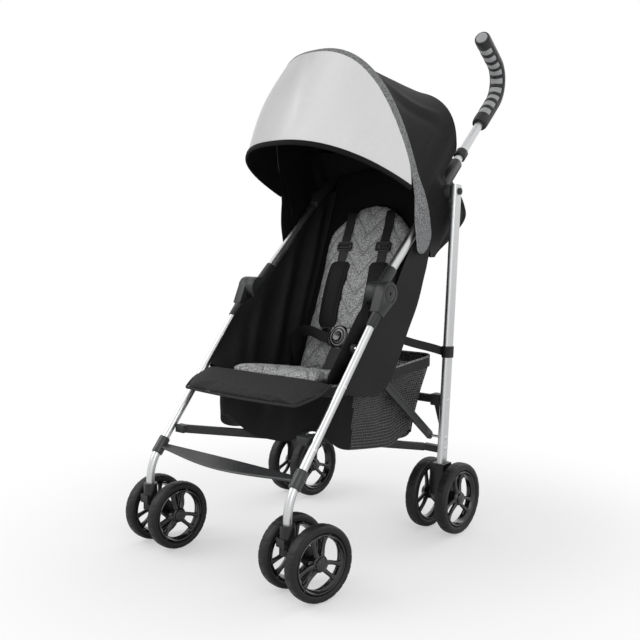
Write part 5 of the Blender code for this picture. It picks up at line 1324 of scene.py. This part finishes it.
BUCKLE_OUT = PAD_BACK + 0.0180
cover_cloth = woven("cover_cloth", (0.0060, 0.0060, 0.0066), (0.0110, 0.0110, 0.0120), 0.66, 0.0009,
                    260.0, 0.00012, specular_ior_level=0.18)
for which, sign in SIDES.items():
    x = sign * STRAP_X
    top = [(x, 0.388, 0.006), (x, 0.384, LIFT), (x * 1.01, 0.345, LIFT + 0.0005),
           (x * 1.02, 0.300, LIFT + 0.0030), (x * 1.02, 0.262, LIFT + 0.0015),
           (x, 0.215, LIFT + 0.0004)]
    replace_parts(webbed("strap_shoulder_" + which, on_back(top), (1.0, 0.0, 0.0)), "harness")
    low_strap = [(x, 0.125, LIFT + 0.0008), (x * 0.96, 0.104, LIFT + 0.0040),
                 (x * 0.78, 0.094, LIFT + 0.0080), (sign * 0.019, 0.092, BUCKLE_OUT - 0.004)]
    webbed("strap_chest_" + which, on_back(low_strap),
           back_way([(0.8, 0.0, 0.0), (0.2, 0.8 * sign, 0.1)]), count=40)
    waist = [(sign * 0.124, 0.020, 0.014), (sign * 0.121, 0.052, 0.030),
             (sign * 0.104, 0.084, 0.052), (sign * 0.072, 0.090, 0.055),
             (sign * 0.042, 0.083, 0.047), (sign * 0.020, 0.080, BUCKLE_OUT - 0.003)]
    webbed("strap_waist_" + which, on_back(waist), back_way([(0.0, 0.4, 0.9), (0.0, 1.0, 0.2)]))

    # the ladder lock: a frame with three bars that the webbing runs over and under
    frame_corners = np.array([(x - LOCK_HALF, LOCK_UP[0]), (x - LOCK_HALF, LOCK_UP[1]),
                              (x + LOCK_HALF, LOCK_UP[1]), (x + LOCK_HALF, LOCK_UP[0])])
    k = np.linspace(0, 1, 9)[:-1, None]
    loop = (frame_corners[:, None] * (1 - k) + np.roll(frame_corners, -1, 0)[:, None] * k
            ).reshape(-1, 2)
    loop = (np.roll(loop, 1, 0) + 2 * loop + np.roll(loop, -1, 0)) / 4
    loop = np.column_stack([loop, np.full(len(loop), LIFT + 0.0030)])
    edge_ring = swept(on_back(np.vstack([loop, loop[:1]])), oval(0.0046, 0.0042, 14, 3.0),
                      up=back_way([(0, 0, 1)])[0])
    lock = [skin(edge_ring[:-1], wrap_rows=True)]
    for up in (0.2955, 0.3045):
        bar = on_back([(x + k * 0.0180, up, LIFT + 0.0048) for k in np.linspace(-1, 1, 9)])
        lock.append(skin(swept(bar, oval(0.0034, 0.0048, 14, 3.0), up=(0, 0, 1))))
    piece("ladder_lock_" + which, lock, black, "backrest")

    # the cover: a long pad folded round the strap, wider at its upper end, with round corners
    u, v = np.meshgrid(np.linspace(-1, 1, 25), np.linspace(-1, 1, 61))
    round_off = 1 - 0.35 * np.clip((np.abs(v) - 0.80) / 0.20, 0, 1) ** 2.2
    swing = 0.0045 * sign * (1 - v * v)
    across = x + COVER_HALF * u * round_off * (1 + 0.06 * v) + swing
    up = COVER_MIDDLE + COVER_REACH * v
    swollen = crown(u, v, 0.0035, 0.0115, 3)
    seamed = 0.0018 * np.exp(-((np.abs(u) - 0.80) / 0.07) ** 2)
    vertices, faces = walled(laid(across, up, LIFT + 0.0004 + swollen - seamed, BIGHT, BACK_TILT),
                             laid(across, up, LIFT - 0.0006, BIGHT, BACK_TILT))
    cover = built("harness_cover_" + which, vertices, faces,
                  np.tile(np.stack([across, up], -1).reshape(-1, 2), (2, 1)), cover_cloth,
                  "backrest", crease=60.0)
    round_pad = cover.modifiers.new("round", "SUBSURF")
    round_pad.levels = round_pad.render_levels = 1

crotch = [(0.0, -0.012, 0.060), (0.0, 0.018, 0.050), (0.0, 0.048, 0.043),
          (0.0, 0.070, BUCKLE_OUT - 0.002)]
webbed("strap_crotch", on_back(crotch), (1.0, 0.0, 0.0), 0.030, count=40)


# The buckle: glossy nylon, a round body with a stepped face, five lugs for the webbing, and a
# press button in a ring.
BUCKLE_UP = 0.086


def faced(profile):
    """A profile of (radius, out) turned about the buckle's own axis."""
    turn = ring(64)[:, None]
    radius, out = np.array(profile, float).T
    return skin(laid(radius * np.cos(turn), BUCKLE_UP + radius * np.sin(turn), BUCKLE_OUT + out,
                     BIGHT, BACK_TILT), wrap_rows=True)


body_profile = [(0.0108, -0.0068), (0.0215, -0.0068), (0.0245, -0.0050), (0.0262, -0.0010),
                (0.0258, 0.0018), (0.0240, 0.0040), (0.0205, 0.0052), (0.0182, 0.0050),
                (0.0172, 0.0060), (0.0150, 0.0069), (0.0118, 0.0070), (0.0108, 0.0062)]
LUG_TAPER = np.array([1.0, 1.0, 1.0, 1.0, 0.98, 0.94, 0.84])
lugs = []
for degrees in (25, 155, 205, 335, 270):
    turn = math.radians(degrees)
    out_way = np.array([math.cos(turn), math.sin(turn)])
    path = out_way * np.linspace(0.020, 0.0315, len(LUG_TAPER))[:, None]
    path = laid(path[:, 0], BUCKLE_UP + path[:, 1], BUCKLE_OUT - 0.0012, BIGHT, BACK_TILT)
    wide = laid(-out_way[1], out_way[0], 0.0, np.zeros(2), BACK_TILT)
    lugs.append(skin(swept(path, oval(0.0225, 0.0072, 20, 4.0), up=wide.ravel(),
                           scale=np.repeat(LUG_TAPER[:, None], 2, 1))))
piece("buckle_body", [faced(body_profile)] + lugs, gloss, "backrest", ["buckle"],
      35.0)
button_profile = [(1e-5, 0.0045), (0.0100, 0.0045), (0.0100, 0.0092), (0.0094, 0.0102),
                  (0.0072, 0.0100), (0.0045, 0.0096), (1e-5, 0.0094)]
piece("buckle_press", [faced(button_profile)], gloss, "buckle_button", ["buckle_button"],
      35.0)


# The basket: a bag of black net with a solid front and bottom edge, hung under the seat from
# the frame. Its mouth is bound, and straps hold its back to the rear legs.
BRACE_REAR, BRACE_FRONT = leg_at(BRACE_PIN), HINGE + FRONT_DIR * LEG_RIVETS[1]
BASKET_HALF = (0.158, 0.167)
BASKET_CORNER = 0.030
WALL_ROWS, FLOOR_ROWS, ROUND = 41, 24, 200


def over_braces(y, lift):
    """A point lifted over the line of the braces, at a distance from the rear axle."""
    share = (BRACE_REAR[0] - AXLE_Y - y) / (BRACE_REAR[0] - BRACE_FRONT[0])
    return np.array([AXLE_Y + y, BRACE_REAR[1] + (BRACE_FRONT[1] - BRACE_REAR[1]) * share + lift])


RIM_FRONT, RIM_BACK = side(-0.318, 0.3472), side(0.003, 0.374)
LOW_FRONT, LOW_BACK = over_braces(-0.330, 0.0230), over_braces(-0.038, 0.0340)


def basket_ring(share, shrink):
    """A level of the basket: a rounded rectangle between its front and back, at share of its
    height, drawn towards its middle by shrink. Points go round it at equal distances."""
    half_x = (BASKET_HALF[0] + (BASKET_HALF[1] - BASKET_HALF[0]) * share) * shrink
    front = LOW_FRONT + (RIM_FRONT - LOW_FRONT) * share
    back = LOW_BACK + (RIM_BACK - LOW_BACK) * share
    centre = (front + back) / 2
    half_y = (back[0] - front[0]) / 2 * shrink
    corner = BASKET_CORNER * (0.35 + 0.65 * shrink)
    turn = np.radians(np.linspace(0, 90, 13))
    points = []
    for x, y, start in ((half_x, half_y, 0), (-half_x, half_y, 90), (-half_x, -half_y, 180),
                        (half_x, -half_y, 270)):
        angle = turn + math.radians(start)
        points.append(np.stack([x - math.copysign(corner, x) + corner * np.cos(angle),
                                y - math.copysign(corner, y) + corner * np.sin(angle)], -1))
    points = np.vstack(points + [points[0][:1]])
    slope = (back[1] - front[1]) / (back[0] - front[0])
    line = np.column_stack([points[:, 0], centre[0] + points[:, 1],
                            centre[1] + slope * points[:, 1]])
    start = np.argmin(np.abs(line[:, 0]) + (line[:, 1] < centre[0]) * 9)
    line = np.vstack([line[start:-1], line[:start], line[start:start + 1]])
    return even(line, ROUND + 1)[:-1]


shares = np.linspace(1, 0, WALL_ROWS)
walls = np.stack([basket_ring(share, 1.0) for share in shares])
floors = np.stack([basket_ring(0.0, shrink) for shrink in np.linspace(1, 0.06, FLOOR_ROWS + 1)[1:]])
bag = np.concatenate([walls, floors])
flat_round = np.linspace(0, 1, ROUND, endpoint=False)
depth_share = np.concatenate([shares, np.zeros(FLOOR_ROWS)])[:, None]
in_floor = np.concatenate([np.zeros(WALL_ROWS), np.linspace(0, 1, FLOOR_ROWS + 1)[1:]])[:, None]
out_way = bag[..., :2] - bag[..., :2].mean(1, keepdims=True)
out_way /= np.linalg.norm(out_way, axis=-1, keepdims=True)
slack = np.sin(np.pi * depth_share) ** 0.8 * (in_floor == 0)
ripple = slack * (0.0045 * np.sin(2 * np.pi * flat_round * 6 + 1.1 + 2 * depth_share)
                  + 0.0025 * np.sin(2 * np.pi * flat_round * 17 + 0.4 - 3 * depth_share) - 0.004)
bag[..., :2] += out_way * ripple[..., None]
bag[..., 2] -= 0.0085 * np.sin(np.pi * in_floor / 2)
# the hem hangs lower where no brace passes under it, and the rear rim leans back over the bar
brace_share = (BRACE_REAR[0] - bag[..., 1]) / (BRACE_REAR[0] - BRACE_FRONT[0])
brace_x = np.abs(REAR_X - 2 * REAR_X * brace_share)
clear = 1 - np.exp(-((np.abs(bag[..., 0]) - brace_x) / 0.050) ** 2)
bag[..., 2] -= 0.034 * (1 - depth_share) ** 2 * (1 - in_floor) ** 3 * clear
bag[..., 1] += 0.014 * smooth(depth_share, 0.5, 1.0) * smooth(bag[..., 1], 0.03, 0.11)
bag = np.concatenate([bag, bag[:, :1]], 1)

net = woven("basket_net", (0.0060, 0.0060, 0.0064), None, 0.55, 0.0030, 200.0, 0.0001,
            specular_ior_level=0.4)
NET_PITCH = 0.0086
cell = 2 * math.pi / NET_PITCH
hole = net.ramp(abs((net.across * cell).sine() * (net.along * cell).sine()), 0.20, 0.50)
# the holes are painted near-black and left about two thirds opaque: painted shade of the bag's
# inside, seen through the net
net.tint(1 - hole, (0.0018, 0.0018, 0.0022), (0.072, 0.072, 0.075))
net.feed("Alpha", 1 - hole * 0.35)
net.relief(1 - hole, 0.0006)
solid = woven("basket_front", (0.0060, 0.0058, 0.0060), (0.0095, 0.0092, 0.0095), 0.66, 0.0009,
              220.0, 0.0001, specular_ior_level=0.12)
vertices, faces = walled(bag, bag - normals_of(bag) * 0.0012)
middles = vertices[faces].mean(1)
in_front = middles[:, 1] < side(-0.262, 0)[0]
BAG_ROUND, WALL_DEEP, FLOOR_DEEP = 1.05, 0.125, 0.12
down = np.concatenate([np.linspace(0, WALL_DEEP, WALL_ROWS),
                       WALL_DEEP + np.linspace(0, FLOOR_DEEP, FLOOR_ROWS + 1)[1:]])
bag_plan = np.stack(np.meshgrid(np.linspace(0, BAG_ROUND, ROUND + 1), down), -1)
basket = built("basket_bag", vertices, faces, np.tile(bag_plan.reshape(-1, 2), (2, 1)), net,
               "rear_frame", ["basket"], in_front.astype(int), solid)
rim = bag[0]
edges = [band("basket_rim", rim - (0, 0, 0.010), (0, 0, 1), oval(0.022, 0.0032, 20, 5.0),
              charcoal_cloth, "rear_frame"),
         band("basket_piping", rim + (0, 0, 0.0012), (0, 0, 1), oval(0.0042, 0.0046, 14), heather,
              "rear_frame")]
for which, sign in SIDES.items():
    column = np.argmax(rim[:, 0] * sign + rim[:, 1])
    edges.append(band("basket_corner_" + which, bag[:44:2, column], (0.7 * sign, -0.7, 0.0),
                      oval(0.011, 0.0030, 16, 4.0), charcoal_cloth, "rear_frame"))
for soft in [basket] + edges:
    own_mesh(soft)

# a strap from the back of the seat holds each rear corner to a loop of webbing round the leg
for which, sign in SIDES.items():
    loop = put(sign * REAR_X, [leg_at(height) for height in np.linspace(0.374, 0.398, 4)])
    piece("basket_loop_" + which, [skin(swept(loop, oval(0.0186, 0.0306, 40, 3.0)))], web,
          "rear_frame")
    knots = np.array([(0.150, 0.012, 0.421), (0.163, 0.050, 0.408), (0.184, 0.092, 0.395),
                      (0.1995, 0.112, 0.387)]) * (sign, 1, 1)
    strap = band("basket_strap_" + which, through(knots, 40), (0, 0.3, 1.0),
                 oval(0.018, WEB_THICK, 20, 6.0), web, "rear_frame")
    "leg_rear_" + which
